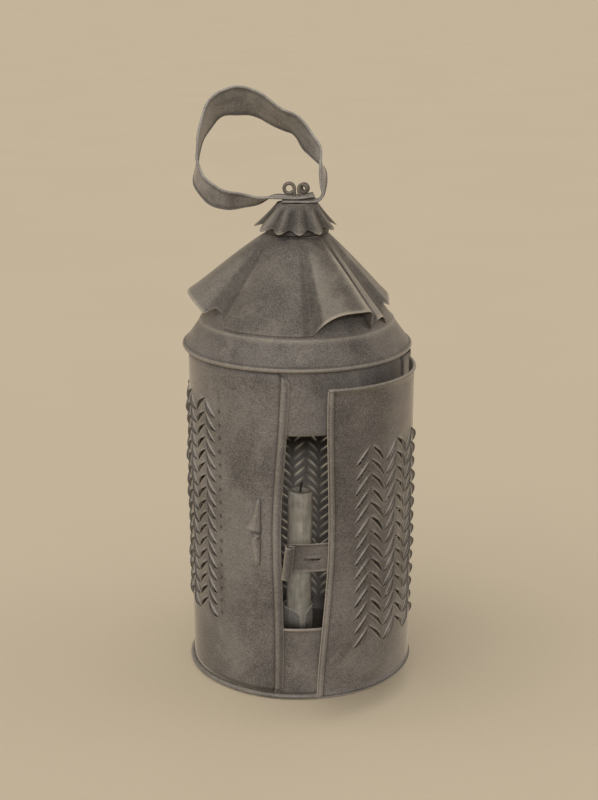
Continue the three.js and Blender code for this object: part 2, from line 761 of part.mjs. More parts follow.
function candleSocket() {
  const inner = candleRadius + socketClearance;
  const half = arcAngle(socketSeamWidth / 2, inner + tin);
  const bottom = baseThickness + gap;
  const top = (angle) => {
    const run = rad(Math.min(angle - socketSeamAngle, socketSeamAngle + 360 - angle) - half) * inner;
    const short = Math.max(0, socketCornerRadius - run);
    return socketHeight - socketCornerRadius + Math.sqrt(Math.max(0, socketCornerRadius ** 2 - short ** 2));
  };
  const from = socketSeamAngle + half;
  const to = socketSeamAngle + 360 - half;
  return band(inner, inner + tin, from, to, () => bottom, top, { step: 10 }).translate(socketShift, 0, 0);
}

function candle() {
  const bottom = baseThickness + gap + candleRadius * Math.sin(rad(candleLean));
  const bore = wickRadius + gap;
  return turned([
    [0, bottom],
    [candleRadius, bottom],
    [candleRadius, candleTop - 1.6],
    [candleRadius - 0.6, candleTop - 0.4],
    [candleRadius - 2, candleTop],
    [bore + 1.4, candleTop - 1],
    [bore, candleTop - 1.3],
    [bore, candleTop - wickDepth - gap],
    [0, candleTop - wickDepth - gap],
  ], roundSegments / 2);
}

const wick = () => new THREE.CylinderGeometry(wickRadius * 0.8, wickRadius, wickDepth + wickHeight, 10)
  .rotateX(Math.PI / 2)
  .translate(0, 0, candleTop + (wickHeight - wickDepth) / 2);

// The staple's plate is soldered to the body sheet and its middle is pinched out into a flat tab.
function staple() {
  const near = shellRadius + gap;
  const low = haspLevel + staplePlateDrop - staplePlateHeight / 2;
  const high = low + staplePlateHeight;
  const end = staplePlateEnd / 2;
  const mid = staplePlateWidth / 2;
  const plateShape = new THREE.Shape([
    new THREE.Vector2(-end, low), new THREE.Vector2(end, low),
    new THREE.Vector2(mid, haspLevel - stapleShoulder), new THREE.Vector2(mid, haspLevel + stapleShoulder),
    new THREE.Vector2(end, high), new THREE.Vector2(-end, high),
    new THREE.Vector2(-mid, haspLevel + stapleShoulder), new THREE.Vector2(-mid, haspLevel - stapleShoulder),
  ]);
  const plate = extruded(plateShape, 0, tin).rotateX(Math.PI / 2).translate(0, -near, 0);
  const tab = new THREE.BoxGeometry(stapleTabWidth, stapleTabReach, stapleTabThickness)
    .translate(0, -(near + stapleTabReach / 2), haspLevel);
  const fold = new THREE.CylinderGeometry(stapleFold, stapleFold, stapleTabWidth, 8).rotateZ(Math.PI / 2)
    .translate(0, -near - tin / 2, haspLevel);
  const behind = new THREE.BoxGeometry(2 * stapleTabWidth, 4 * stapleFold, 4 * stapleFold)
    .translate(0, 2 * stapleFold - near, haspLevel);
  return joined(plate, tab, cut(fold, behind)).rotateZ(rad(stapleAngle));
}

// The hasp is soldered inside the door, runs past its free edge, is slotted for the staple
// and rolls outwards at its end for a finger grip.
function hasp() {
  const root = doorFreeAngle + arcAngle(haspLap, haspInner);
  const end = doorFreeAngle - arcAngle(haspReach, haspInner);
  const strip = extruded(arcPlate(haspInner, haspInner + tin, end, root), haspBottom, haspTop);
  const curlCentre = around(haspInner + haspCurlRadius, end, 0);
  const curlShape = new THREE.Shape();
  const inward = rad(end) + Math.PI / 2;
  const outward = inward - rad(haspCurlTurn);
  curlShape.absarc(curlCentre.x, curlCentre.y, haspCurlRadius, inward, outward, true);
  curlShape.absarc(curlCentre.x, curlCentre.y, haspCurlRadius - tin, outward, inward, false);
  const curl = extruded(curlShape, haspCurlBottom, haspCurlTop, 12);
  const slotRight = doorFreeAngle - arcAngle(slotInset, haspInner);
  const slotLeft = slotRight - arcAngle(slotLength, haspInner);
  const lipPlate = extruded(
    arcPlate(haspInner + tin / 2, haspInner + tin + slotLip.reach, slotLeft, slotRight - slotLip.inset),
    haspLevel + slotHeight / 2, haspLevel + slotHeight / 2 + slotLip.height,
  );
  const slot = extruded(
    arcPlate(haspInner - 2 * tin, haspInner + tin + 2 * slotLip.reach, slotLeft, slotRight),
    haspLevel - slotHeight / 2, haspLevel + slotHeight / 2,
  );
  return cut(joined(strip, curl, lipPlate), slot);
}

// A knuckle wrapped round the pin.
function knuckle(z0, z1) {
  const centre = around(hingeRadius, hingeAngle, 0);
  const ring = new THREE.Shape();
  ring.absarc(centre.x, centre.y, knuckleRadius, 0, 2 * Math.PI, false);
  const bore = new THREE.Path();
  bore.absarc(centre.x, centre.y, pinRadius + gap, 0, 2 * Math.PI, true);
  ring.holes.push(bore);
  return extruded(ring, z0, z1);
}

// The door's knuckle sits between the body's two, on a leaf outside the door.
function doorHinge(level) {
  const z0 = level - knuckleHeight / 2;
  const z1 = level + knuckleHeight / 2;
  const near = doorRadius + gap;
  const leafFrom = hingeAngle - arcAngle(knuckleRadius - tin / 2, hingeRadius);
  const leafTo = hingeAngle - arcAngle(leafSpan + knuckleRadius, hingeRadius);
  return joined(knuckle(z0, z1), extruded(arcPlate(near, near + tin, leafFrom, leafTo), z0, z1));
}

// The body's two knuckles reach back to a leaf on the body sheet, which joins them behind.
function bodyHinge(level) {
  const near = shellRadius + gap;
  const neckFrom = hingeAngle + arcAngle(knuckleRadius - tin / 2, hingeRadius);
  const leafFrom = hingeAngle + arcAngle(knuckleRadius + 1, hingeRadius);
  const webFrom = hingeAngle + arcAngle(knuckleRadius + 1 + webInset, hingeRadius);
  const leafTo = hingeAngle + arcAngle(leafSpan + knuckleRadius, hingeRadius);
  const neck = new THREE.Shape([
    around(hingeRadius - 0.5, neckFrom, 0), around(near + tin, leafFrom + 1, 0),
    around(near, leafFrom, 0), around(hingeRadius - 1.4, neckFrom, 0),
  ].map((p) => new THREE.Vector2(p.x, p.y)));
  const leaf = arcPlate(near, near + tin, leafFrom, leafTo);
  const inner = 0.5 * knuckleHeight + gap;
  const outer = 1.5 * knuckleHeight + gap;
  const halves = [[level + inner, level + outer], [level - outer, level - inner]];
  return joined(
    ...halves.flatMap(([z0, z1]) => [knuckle(z0, z1), extruded(neck, z0, z1), extruded(leaf, z0, z1)]),
    extruded(arcPlate(near, near + tin, webFrom, leafTo), level - outer, level + outer),
  );
}

function hingePin(level) {
  const at = around(hingeRadius, hingeAngle, level);
  return new THREE.CylinderGeometry(pinRadius, pinRadius, 3 * knuckleHeight + 2 * pinProud, 16)
    .rotateX(Math.PI / 2).translate(at.x, at.y, at.z);
}

// Finishes
const finish = (color, roughness, metalness) =>
  new THREE.MeshStandardMaterial({ color, roughness, metalness });
const finishes = {
  tin: () => finish(0x5f5850, 0.58, 0.75),
  roofTin: () => finish(0x665f57, 0.56, 0.75),
  innerTin: () => finish(0x4c463f, 0.66, 0.7),
  wire: () => finish(0x6f6860, 0.45, 0.85),
  wax: () => finish(0x9a917f, 0.6, 0),
  wick: () => finish(0x2b2622, 0.9, 0),
};

const lantern = new THREE.Group();
function place(parent, name, geometry, surface) {
  const mesh = new THREE.Mesh(geometry, finishes[surface]());
  mesh.name = name;
  parent.add(mesh);
  return mesh;
}

place(lantern, 'base_pan', basePan(), 'tin');
place(lantern, 'body_sheet_left', bodySheetLeft(), 'tin');
place(lantern, 'body_sheet_right', bodySheetRight(), 'tin');
place(lantern, 'door_sill', doorSill(), 'tin');
place(lantern, 'head_band', headBand(), 'tin');
place(lantern, 'roof_cone', roofCone(), 'roofTin');
place(lantern, 'vent_hood', ventHood(), 'roofTin');
place(lantern, 'crown_cap', crownCap(), 'roofTin');
place(lantern, 'crown_ruffle', crownRuffle(), 'roofTin');
place(lantern, 'staple', staple(), 'tin');
place(lantern, 'candle_socket', candleSocket(), 'innerTin');
for (const [name, level] of Object.entries(hingeLevels)) {
  place(lantern, `body_hinge_${name}`, bodyHinge(level), 'tin');
  place(lantern, `hinge_pin_${name}`, hingePin(level), 'wire');
}

// The door is built closed and stands ajar, turned about its hinge pins.
const hingeFoot = around(hingeRadius, hingeAngle, 0);
const doorSwing = new THREE.Group();
doorSwing.position.copy(hingeFoot);
doorSwing.rotation.z = rad(doorAjar);
const door = new THREE.Group();
door.position.copy(hingeFoot).negate();
doorSwing.add(door);
lantern.add(doorSwing);
place(door, 'door_panel', doorPanel(), 'tin');
place(door, 'hasp', hasp(), 'tin');
for (const [name, level] of Object.entries(hingeLevels)) {
  place(door, `door_hinge_${name}`, doorHinge(level), 'tin');
}

const handle = new THREE.Group();
lantern.add(handle);
place(handle, 'ring_strap', ringStrap(), 'roofTin');
place(handle, 'eye_wire', eyeWire(), 'wire');

const light = new THREE.Group();
light.position.set(socketShift, 0, 0);
light.rotation.y = rad(candleLean);
lantern.add(light);
place(light, 'candle', candle(), 'wax');
place(light, 'wick', wick(), 'wick');

export default lantern;
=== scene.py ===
from math import atan2, cos, pi, radians, sin

import bpy
import numpy as np
from mathutils import Matrix, Vector


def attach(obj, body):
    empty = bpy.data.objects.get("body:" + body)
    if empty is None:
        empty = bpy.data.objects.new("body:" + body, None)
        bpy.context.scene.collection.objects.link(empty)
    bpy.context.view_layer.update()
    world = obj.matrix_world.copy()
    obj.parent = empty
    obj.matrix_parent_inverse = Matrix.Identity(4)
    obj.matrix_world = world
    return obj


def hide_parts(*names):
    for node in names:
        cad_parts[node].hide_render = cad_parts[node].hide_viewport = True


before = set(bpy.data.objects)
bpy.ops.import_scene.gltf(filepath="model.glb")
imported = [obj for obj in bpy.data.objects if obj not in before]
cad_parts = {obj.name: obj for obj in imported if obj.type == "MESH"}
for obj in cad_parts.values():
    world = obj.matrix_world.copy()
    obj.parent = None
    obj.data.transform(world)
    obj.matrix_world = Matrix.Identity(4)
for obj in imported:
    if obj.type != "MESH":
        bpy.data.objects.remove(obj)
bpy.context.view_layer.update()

# Old punched-tin candle lantern. Sizes are in millimetres, angles in degrees from the front
# (-Y), positive towards +X, as in the CAD model; meshes are written in metres.
mm = 0.001
dice = np.random.RandomState(12)
print("frame loaded:", len(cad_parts), "nodes")


# Mesh helpers
def onCircle(radius, angle, level):
    a = np.radians(angle)
    radius, a, level = np.broadcast_arrays(radius, a, level)
    return np.stack([radius * np.sin(a), -radius * np.cos(a), level], axis=-1)


def softStep(low, high, x):
    t = np.clip((np.asarray(x, float) - low) / (high - low), 0, 1)
    return t * t * (3 - 2 * t)


def bump(x, at, width):
    return np.exp(-((x - at) / width) ** 2)


def handmade(angle, level, size=0.22):
    # slow hollows and swellings of hand-bent sheet, the same all round the lantern
    a = np.radians(angle)
    waves = (
        np.sin(3 * a + level * 0.021 + 0.6) * 0.5
        + np.sin(5 * a - level * 0.043 + 2.1) * 0.35
        + np.sin(8 * a + level * 0.071 + 4.0) * 0.25
        + np.sin(2 * a + level * 0.11 + 1.2) * 0.2
    )
    return size * waves


def arcOf(length, radius):
    return length / radius * 180 / pi


def gridFaces(across, up, closedAcross=False, closedUp=False, holes=None):
    faces = []
    for i in range(across if closedAcross else across - 1):
        n = (i + 1) % across
        for j in range(up if closedUp else up - 1):
            if holes is not None and holes[i, j]:
                continue
            m = (j + 1) % up
            faces.append((i * up + j, n * up + j, n * up + m, i * up + m))
    return faces


def buildMesh(name, blocks, flip=False):
    # blocks: (points in mm, wear and painted light values, faces) with faces counted from the block's first
    # point
    verts, wearAndPaintedLight, faces = [], [], []
    for points, wornAndPaintedLight, quads in blocks:
        base = len(verts)
        verts.extend((np.asarray(points).reshape(-1, 3) * mm).tolist())
        wearAndPaintedLight.extend(np.broadcast_to(wornAndPaintedLight, np.asarray(points).shape[:-1]).reshape(-1).tolist())
        faces.extend(tuple(base + k for k in quad) for quad in quads)
    if flip:
        faces = [tuple(reversed(face)) for face in faces]
    mesh = bpy.data.meshes.new(name)
    mesh.from_pydata(verts, [], faces)
    # positive values mark rubbed places and painted highlights, negative values painted shade
    mesh.attributes.new("wearAndPaintedLight", "FLOAT", "POINT").data.foreach_set("value", wearAndPaintedLight)
    mesh.polygons.foreach_set("use_smooth", [True] * len(mesh.polygons))
    mesh.update()
    piece = bpy.data.objects.new(name, mesh)
    bpy.context.scene.collection.objects.link(piece)
    return piece


def thicken(piece, thickness, inside=0):
    solid = piece.modifiers.new("sheetThickness", "SOLIDIFY")
    solid.thickness = thickness * mm
    solid.offset = -1
    solid.use_even_offset = False
    solid.material_offset = inside


def latheBlock(profile, wearAndPaintedLight, segments=180, wobble=0.0, fromAngle=0.0, toAngle=360.0, wave=None):
    # profile: [radius, level] pairs, walked from one edge to the other
    closed = toAngle - fromAngle >= 360
    count = segments if closed else segments + 1
    angles = fromAngle + (toAngle - fromAngle) * np.arange(count) / segments
    radius = np.array([p[0] for p in profile], float)
    level = np.array([p[1] for p in profile], float)
    a, r = np.meshgrid(angles, radius, indexing="ij")
    z = np.broadcast_to(level, a.shape).copy()
    if wobble:
        r = r + handmade(a, z, wobble) * np.minimum(1, r / 30)
    if wave is not None:
        r, z = wave(a, r, z)
    wornAndPaintedLight = np.broadcast_to(np.asarray(wearAndPaintedLight, float), a.shape)
    return onCircle(r, a, z), wornAndPaintedLight, gridFaces(count, len(profile), closedAcross=closed)


def beadProfile(radius, level, size, fromTurn, toTurn, steps):
    turn = np.radians(np.linspace(fromTurn, toTurn, steps + 1))
    return [[radius + size * cos(t), level + size * sin(t)] for t in turn]


def smoothPath(points, count):
    # centripetal Catmull-Rom through the points, evenly spaced along its length
    points = np.asarray(points, float)
    padded = np.vstack([2 * points[:1] - points[1:2], points, 2 * points[-1:] - points[-2:-1]])
    dense = []
    for k in range(len(padded) - 3):
        p0, p1, p2, p3 = padded[k:k + 4]
        t0 = 0.0
        t1 = t0 + max(np.linalg.norm(p1 - p0), 1e-6) ** 0.5
        t2 = t1 + max(np.linalg.norm(p2 - p1), 1e-6) ** 0.5
        t3 = t2 + max(np.linalg.norm(p3 - p2), 1e-6) ** 0.5
        for t in np.linspace(t1, t2, 24, endpoint=False):
            a1 = (t1 - t) / (t1 - t0) * p0 + (t - t0) / (t1 - t0) * p1
            a2 = (t2 - t) / (t2 - t1) * p1 + (t - t1) / (t2 - t1) * p2
            a3 = (t3 - t) / (t3 - t2) * p2 + (t - t2) / (t3 - t2) * p3
            b1 = (t2 - t) / (t2 - t0) * a1 + (t - t0) / (t2 - t0) * a2
            b2 = (t3 - t) / (t3 - t1) * a2 + (t - t1) / (t3 - t1) * a3
            dense.append((t2 - t) / (t2 - t1) * b1 + (t - t1) / (t2 - t1) * b2)
    dense.append(padded[-2])
    dense = np.array(dense)
    run = np.concatenate([[0], np.cumsum(np.linalg.norm(np.diff(dense, axis=0), axis=1))])
    at = np.linspace(0, run[-1], count)
    return np.stack([np.interp(at, run, dense[:, k]) for k in range(3)], axis=1), run[-1]


def wireBlock(path, radius, sides=12, wearAndPaintedLight=0.3):
    # a round wire along a path, closed at both ends
    path = np.asarray(path, float)
    along = np.gradient(path, axis=0)
    along /= np.linalg.norm(along, axis=1)[:, None]
    normal = np.cross(along[0], [0.3, 1.0, 0.2])
    rings = []
    for p, t in zip(path, along):
        normal = normal - t * np.dot(normal, t)
        normal /= np.linalg.norm(normal)
        side = np.cross(t, normal)
        turn = np.linspace(0, 2 * pi, sides, endpoint=False)
        rings.append(p + radius * (np.outer(np.cos(turn), normal) + np.outer(np.sin(turn), side)))
    tip = 0.45 * radius
    first = rings[0] * 0.55 + path[0] * 0.45 - along[0] * tip
    last = rings[-1] * 0.55 + path[-1] * 0.45 + along[-1] * tip
    points = np.array([first] + rings + [last])
    faces = gridFaces(len(points), sides, closedUp=True)
    end = (len(points) - 1) * sides
    faces.append(tuple(range(sides))[::-1])
    faces.append(tuple(range(end, end + sides)))
    return points, wearAndPaintedLight, [tuple(reversed(f)) for f in faces]


def dress(piece, body, nodes, slotName, *finishes):
    for finish in finishes:
        piece.data.materials.append(finish)
    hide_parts(*nodes)
    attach(piece, body)


# Shader groups: colours, masks and heights only
def newGroup(name, inputs, outputs):
    tree = bpy.data.node_groups.new(name, "ShaderNodeTree")
    for label, kind, value in inputs:
        socket = tree.interface.new_socket(label, in_out="INPUT", socket_type=kind)
        socket.default_value = value
    for label, kind in outputs:
        tree.interface.new_socket(label, in_out="OUTPUT", socket_type=kind)
    return tree, tree.nodes.new("NodeGroupInput"), tree.nodes.new("NodeGroupOutput")


def addNode(tree, kind, **values):
    node = tree.nodes.new(kind)
    for key, value in values.items():
        setattr(node, key, value)
    return node


def feed(tree, socket, value):
    # a plain value is set, another node's output is linked
    if isinstance(value, (int, float, tuple)):
        socket.default_value = value
    else:
        tree.links.new(value, socket)


def feedInputs(tree, node, **values):
    for label, value in values.items():
        feed(tree, node.inputs[label.replace("_", " ")], value)


def mathNode(tree, operation, first, second, clamp=False):
    node = addNode(tree, "ShaderNodeMath", operation=operation, use_clamp=clamp)
    feed(tree, node.inputs[0], first)
    feed(tree, node.inputs[1], second)
    return node.outputs[0]


def blendNode(tree, first, second, share):
    # a share of the first value and the rest of the second
    firstShare = mathNode(tree, "MULTIPLY", first, share)
    secondShare = mathNode(tree, "MULTIPLY", second, 1 - share)
    return mathNode(tree, "ADD", firstShare, secondShare)


def spreadNode(tree, factor, low, high):
    return mathNode(tree, "ADD", mathNode(tree, "MULTIPLY", factor, high - low), low)


def mixColour(tree, factor, first, second):
    node = addNode(tree, "ShaderNodeMix", data_type="RGBA")
    for index, value in ((0, factor), (6, first), (7, second)):
        feed(tree, node.inputs[index], value)
    return node.outputs[2]


def objectPlace(tree):
    return addNode(tree, "ShaderNodeTexCoord").outputs["Object"]


def noiseNode(tree, vector, scale, detail=3.0, roughness=0.5, distortion=0.0):
    node = addNode(tree, "ShaderNodeTexNoise")
    feedInputs(tree, node, Vector=vector, Scale=scale, Detail=detail, Roughness=roughness,
               Distortion=distortion)
    return node.outputs["Fac"]


def rampNode(tree, factor, low, high):
    node = addNode(tree, "ShaderNodeMapRange", interpolation_type="SMOOTHSTEP")
    feedInputs(tree, node, Value=factor, From_Min=low, From_Max=high)
    return node.outputs["Result"]


def makeTinMottle():
    # cloudy patina: light bloom over dark tin, a fine tooth and small dark specks
    tree, given, result = newGroup("tinMottle", [
        ("Cloud Scale", "NodeSocketFloat", 18.0),
        ("Light", "NodeSocketColor", (0.2, 0.17, 0.14, 1)),
        ("Dark", "NodeSocketColor", (0.05, 0.04, 0.035, 1)),
        ("Bloom", "NodeSocketColor", (0.3, 0.27, 0.23, 1)),
        ("Bloom Amount", "NodeSocketFloat", 0.35),
        ("Speck Amount", "NodeSocketFloat", 0.35),
    ], [("Color", "NodeSocketColor"), ("Cloud", "NodeSocketFloat"), ("Height", "NodeSocketFloat")])
    place = objectPlace(tree)
    cloud = noiseNode(tree, place, given.outputs["Cloud Scale"], 5, 0.62, 0.4)
    cloudMask = rampNode(tree, cloud, 0.34, 0.66)
    fine = noiseNode(tree, place, 1080.0, 4, 0.85)
    lightShare = blendNode(tree, cloudMask, rampNode(tree, fine, 0.37, 0.63), 0.42)
    base = mixColour(tree, lightShare, given.outputs["Dark"], given.outputs["Light"])
    bloomPatch = rampNode(tree, noiseNode(tree, place, 42.0, 4, 0.7, 0.8), 0.5, 0.78)
    bloomMask = mathNode(tree, "MULTIPLY", bloomPatch, given.outputs["Bloom Amount"])
    bloomed = mixColour(tree, bloomMask, base, given.outputs["Bloom"])
    speck = rampNode(tree, noiseNode(tree, place, 330.0, 4, 0.75), 0.54, 0.7)
    speckMask = mathNode(tree, "MULTIPLY", speck, given.outputs["Speck Amount"])
    specked = mixColour(tree, speckMask, bloomed, given.outputs["Dark"])
    slow = mathNode(tree, "MULTIPLY", cloud, 0.6)
    tooth = mathNode(tree, "MULTIPLY", fine, 0.3)
    height = mathNode(tree, "ADD", slow, tooth)
    feedInputs(tree, result, Color=specked, Cloud=cloudMask, Height=height)
    return tree


def makeWearAndShade():
    # rubbed edges with painted highlights, and painted shade in folds, recesses and under edges, from the
    # piece's own wear and painted light values, broken up by noise
    tree, given, result = newGroup("wearAndShade", [
        ("Amount", "NodeSocketFloat", 0.8),
        ("Breakup", "NodeSocketFloat", 0.5),
    ], [("Mask", "NodeSocketFloat"), ("Grime", "NodeSocketFloat")])
    wornAndPaintedLight = addNode(tree, "ShaderNodeAttribute", attribute_name="wearAndPaintedLight").outputs["Fac"]
    rough = noiseNode(tree, objectPlace(tree), 320.0, 3, 0.6)
    broken = mathNode(tree, "SUBTRACT", 1.0, mathNode(tree, "MULTIPLY", rough, given.outputs["Breakup"]))
    rubbedAndPainted = mathNode(tree, "MULTIPLY", wornAndPaintedLight, broken)
    mask = mathNode(tree, "MULTIPLY", rubbedAndPainted, given.outputs["Amount"], clamp=True)
    # painted shade from the negative values
    paintedShade = mathNode(tree, "MULTIPLY", rubbedAndPainted, -1.0, clamp=True)
    feedInputs(tree, result, Mask=mask, Grime=paintedShade)
    return tree


tinMottle = makeTinMottle()
wearAndShade = makeWearAndShade()
print("shader groups ready")


def groupNode(tree, group, **values):
    node = addNode(tree, "ShaderNodeGroup", node_tree=group)
    feedInputs(tree, node, **values)
    return node


def linearPart(value):
    value = value / 255
    return value / 12.92 if value <= 0.04045 else ((value + 0.055) / 1.055) ** 2.4


def sRgb(red, green, blue):
    return (linearPart(red), linearPart(green), linearPart(blue), 1.0)


def newFinish(name):
    finish = bpy.data.materials.new(name)
    finish.use_nodes = True
    return finish, finish.node_tree, finish.node_tree.nodes["Principled BSDF"]


def reliefNode(tree, height, strength, depth):
    node = addNode(tree, "ShaderNodeBump")
    feedInputs(tree, node, Height=height, Strength=strength, Distance=depth)
    return node.outputs["Normal"]


# the dark colour here is painted shade, laid in folds, recesses and under edges
tinFinish = dict(speckAmount=0.3, wearAndLightAmount=0.9, breakup=0.6, paintedShade=(34, 31, 29), dustTint=(236, 220, 196),
                 dustRoughness=0.45, relief=0.3, reliefDepth=0.0006)


def makeTinFinish(name, light, dark, bloom, wornAndPaintedLight, cloudScale=18.0, bloomAmount=0.35, metallic=0.3,
                  roughLow=0.5, roughHigh=0.7, dust=0.35):
    finish, tree, shader = newFinish(name)
    mottle = groupNode(tree, tinMottle, Cloud_Scale=cloudScale, Light=sRgb(*light), Dark=sRgb(*dark),
                       Bloom=sRgb(*bloom), Bloom_Amount=bloomAmount, Speck_Amount=tinFinish["speckAmount"])
    rubbedAndPainted = groupNode(tree, wearAndShade, Amount=tinFinish["wearAndLightAmount"], Breakup=tinFinish["breakup"])
    # the rubbed colour paints rubbed places and painted highlights, the dark colour painted shade
    colour = mixColour(tree, rubbedAndPainted.outputs["Mask"], mottle.outputs["Color"], sRgb(*wornAndPaintedLight))
    shadedColour = mixColour(tree, rubbedAndPainted.outputs["Grime"], colour, sRgb(*tinFinish["paintedShade"]))
    rough = spreadNode(tree, mottle.outputs["Cloud"], roughLow, roughHigh)
    relief = reliefNode(tree, mottle.outputs["Height"], tinFinish["relief"], tinFinish["reliefDepth"])
    feedInputs(tree, shader, Base_Color=shadedColour, Metallic=metallic, Roughness=rough, Normal=relief,
               Sheen_Weight=dust, Sheen_Roughness=tinFinish["dustRoughness"],
               Sheen_Tint=sRgb(*tinFinish["dustTint"]))
    return finish


waxFinish = dict(streakScale=420.0, squeeze=(1, 1, 0.08), dustScale=130.0, roughness=(0.45, 0.65), glow=0.12,
                 glowDepth=0.004, relief=0.25, reliefDepth=0.0005)


def makeWaxFinish(name, light, dark):
    # streaks run down the candle, with dust over them
    finish, tree, shader = newFinish(name)
    place = objectPlace(tree)
    stretch = addNode(tree, "ShaderNodeMapping")
    feedInputs(tree, stretch, Vector=place, Scale=waxFinish["squeeze"])
    streakNoise = noiseNode(tree, stretch.outputs["Vector"], waxFinish["streakScale"], 3, 0.6)
    dust = rampNode(tree, noiseNode(tree, place, waxFinish["dustScale"], 4, 0.65), 0.35, 0.75)
    both = blendNode(tree, rampNode(tree, streakNoise, 0.3, 0.75), dust, 0.5)
    relief = reliefNode(tree, both, waxFinish["relief"], waxFinish["reliefDepth"])
    feedInputs(tree, shader, Base_Color=mixColour(tree, both, sRgb(*dark), sRgb(*light)),
               Roughness=spreadNode(tree, dust, *waxFinish["roughness"]), Normal=relief,
               Subsurface_Weight=waxFinish["glow"], Subsurface_Scale=waxFinish["glowDepth"])
    return finish


def makeWickFinish(name, light, dark):
    finish, tree, shader = newFinish(name)
    strand = rampNode(tree, noiseNode(tree, objectPlace(tree), 1500.0, 3, 0.7), 0.3, 0.7)
    feedInputs(tree, shader, Base_Color=mixColour(tree, strand, sRgb(*dark), sRgb(*light)),
               Roughness=spreadNode(tree, strand, 0.85, 0.95))
    return finish


# each tin: light, dark, bloom and rubbed colours, the rubbed colour also painting highlights
bodyTin = makeTinFinish("bodyTin", (136, 129, 122), (54, 51, 51), (151, 143, 132), (176, 166, 151), dust=0.45)
# the door's tin is a darker copy of the body's tin: painted shade
shadedDoorTin = makeTinFinish("shadedDoorTin", (122, 115, 109), (46, 43, 44), (142, 134, 123), (176, 166, 151), dust=0.5)
# the roof's and hood's tins are darker copies of the body's tin too: painted shade
roofTin = makeTinFinish("roofTin", (124, 117, 110), (47, 44, 44), (142, 134, 123), (176, 166, 150),
                        cloudScale=24.0, bloomAmount=0.45, dust=0.25)
shadedHoodTin = makeTinFinish("shadedHoodTin", (121, 114, 106), (43, 40, 40), (140, 132, 120), (176, 166, 150),
                        cloudScale=24.0, bloomAmount=0.4, dust=0.25)
# the socket's tin is a lighter copy: painted light on a part deep in the lantern's shade
litSocketTin = makeTinFinish("litSocketTin", (184, 176, 165), (96, 90, 84), (192, 184, 172), (224, 215, 200),
                          cloudScale=60.0, metallic=0.05)
# the tin of the inside faces is a lighter copy: painted light in the lantern's shaded inside
litInnerTin = makeTinFinish("litInnerTin", (136, 128, 120), (78, 73, 68), (146, 137, 127), (206, 196, 180),
                         metallic=0.05, roughLow=0.65, roughHigh=0.85, dust=0.1)
# the handle's tin is a lighter copy: painted light on the strap's shaded faces
litHandleTin = makeTinFinish("litHandleTin", (163, 157, 151), (76, 73, 72), (175, 168, 159), (198, 189, 175),
                          cloudScale=40.0)
drawnWire = makeTinFinish("drawnWire", (116, 108, 99), (58, 53, 49), (132, 124, 113), (160, 151, 138),
                          cloudScale=90.0, metallic=0.5, roughLow=0.4, roughHigh=0.55)
agedWax = makeWaxFinish("agedWax", (221, 211, 193), (165, 156, 141))
charredWick = makeWickFinish("charredWick", (74, 66, 59), (30, 26, 23))
print("finishes ready")


# Punched sheets: each is one grid of columns and rows, bent round the lantern's axis
sheet = 0.45  # the tin's thickness
shell = dict(radius=73.0, bottom=3.7, top=223.0, raisedTop=226.3, hemWidth=5.0, hemRise=1.0, hemEdge=354.4,
             hemLean=1.9, bow=3.0, bowAt=124.0, bowSpan=60.0, seam=231.4, seamGap=0.3, lapEdge=72.0,
             corner=6.0, footGrime=1.2)
backSwell = dict(rise=3.6, fromLevel=195, toLevel=207, at=87.5, width=8.5)
punch = dict(reach=0.95, ends=0.045, slitAt=0.46, lipLightAt=0.85, shut=0.02)
# shares along a stroke, and distances from its slit, where the grid has points
armSteps = [0, 0.045, 0.09, 0.16, 0.26, 0.38, 0.5, 0.62, 0.74, 0.84, 0.91, 0.955]
belowSlit = [2.5, 1.6, 0.95, 0.5, 0.2, 0.0]
aboveSlit = [0.0, 0.2, 0.5, 0.95, 1.6]


def fieldColumns(lead, field, tail):
    # columns before, in and after the field: angle, raise of the fold line, arm and share along it
    columns = [(a, 0.0, -1, 0.0) for a in lead]
    for k in range(field["arms"]):
        falls = (k % 2 == 0) == field["startsHigh"]
        begin, end = (0.5, -0.5) if falls else (-0.5, 0.5)
        bow = field["fallBow"] if falls else field["riseBow"]
        for u in armSteps:
            lift = begin + (end - begin) * u + bow * sin(pi * u)
            columns.append((field["start"] + (k + u) * field["arm"], lift * field["slope"], k, u))
    endsHigh = (field["arms"] % 2 == 0) == field["startsHigh"]
    last = field["start"] + field["arms"] * field["arm"]
    columns.append((last, (0.5 if endsHigh else -0.5) * field["slope"], -1, 0.0))
    columns += [(a, 0.0, -1, 0.0) for a in tail]
    return [np.array(row) for row in zip(*columns)]


def fieldRows(bottom, field, top):
    # rows below, in and above the field: level, how far they follow the fold lines, cell, place in it
    low = field["low"]
    high = low + field["rows"] * field["pitch"]
    rows = []
    for z in np.linspace(bottom, low, max(3, int((low - bottom) / 4) + 2))[:-1]:
        rows.append((z, float(softStep(bottom, low, z)), -1, 0))
    for k in range(field["rows"]):
        base = low + k * field["pitch"]
        slit = base + punch["slitAt"] * field["pitch"]
        rows.append((base, 1.0, -1, 0))
        rows += [(slit - offset, 1.0, k, -1 - n) for n, offset in enumerate(belowSlit)]
        rows += [(slit + offset, 1.0, k, 1 + n) for n, offset in enumerate(aboveSlit)]
    for z in np.linspace(high, top, max(3, int((top - high) / 4) + 2)):
        rows.append((z, float(1 - softStep(high, top, z)), -1, 0))
    return [np.array(row) for row in zip(*rows)]


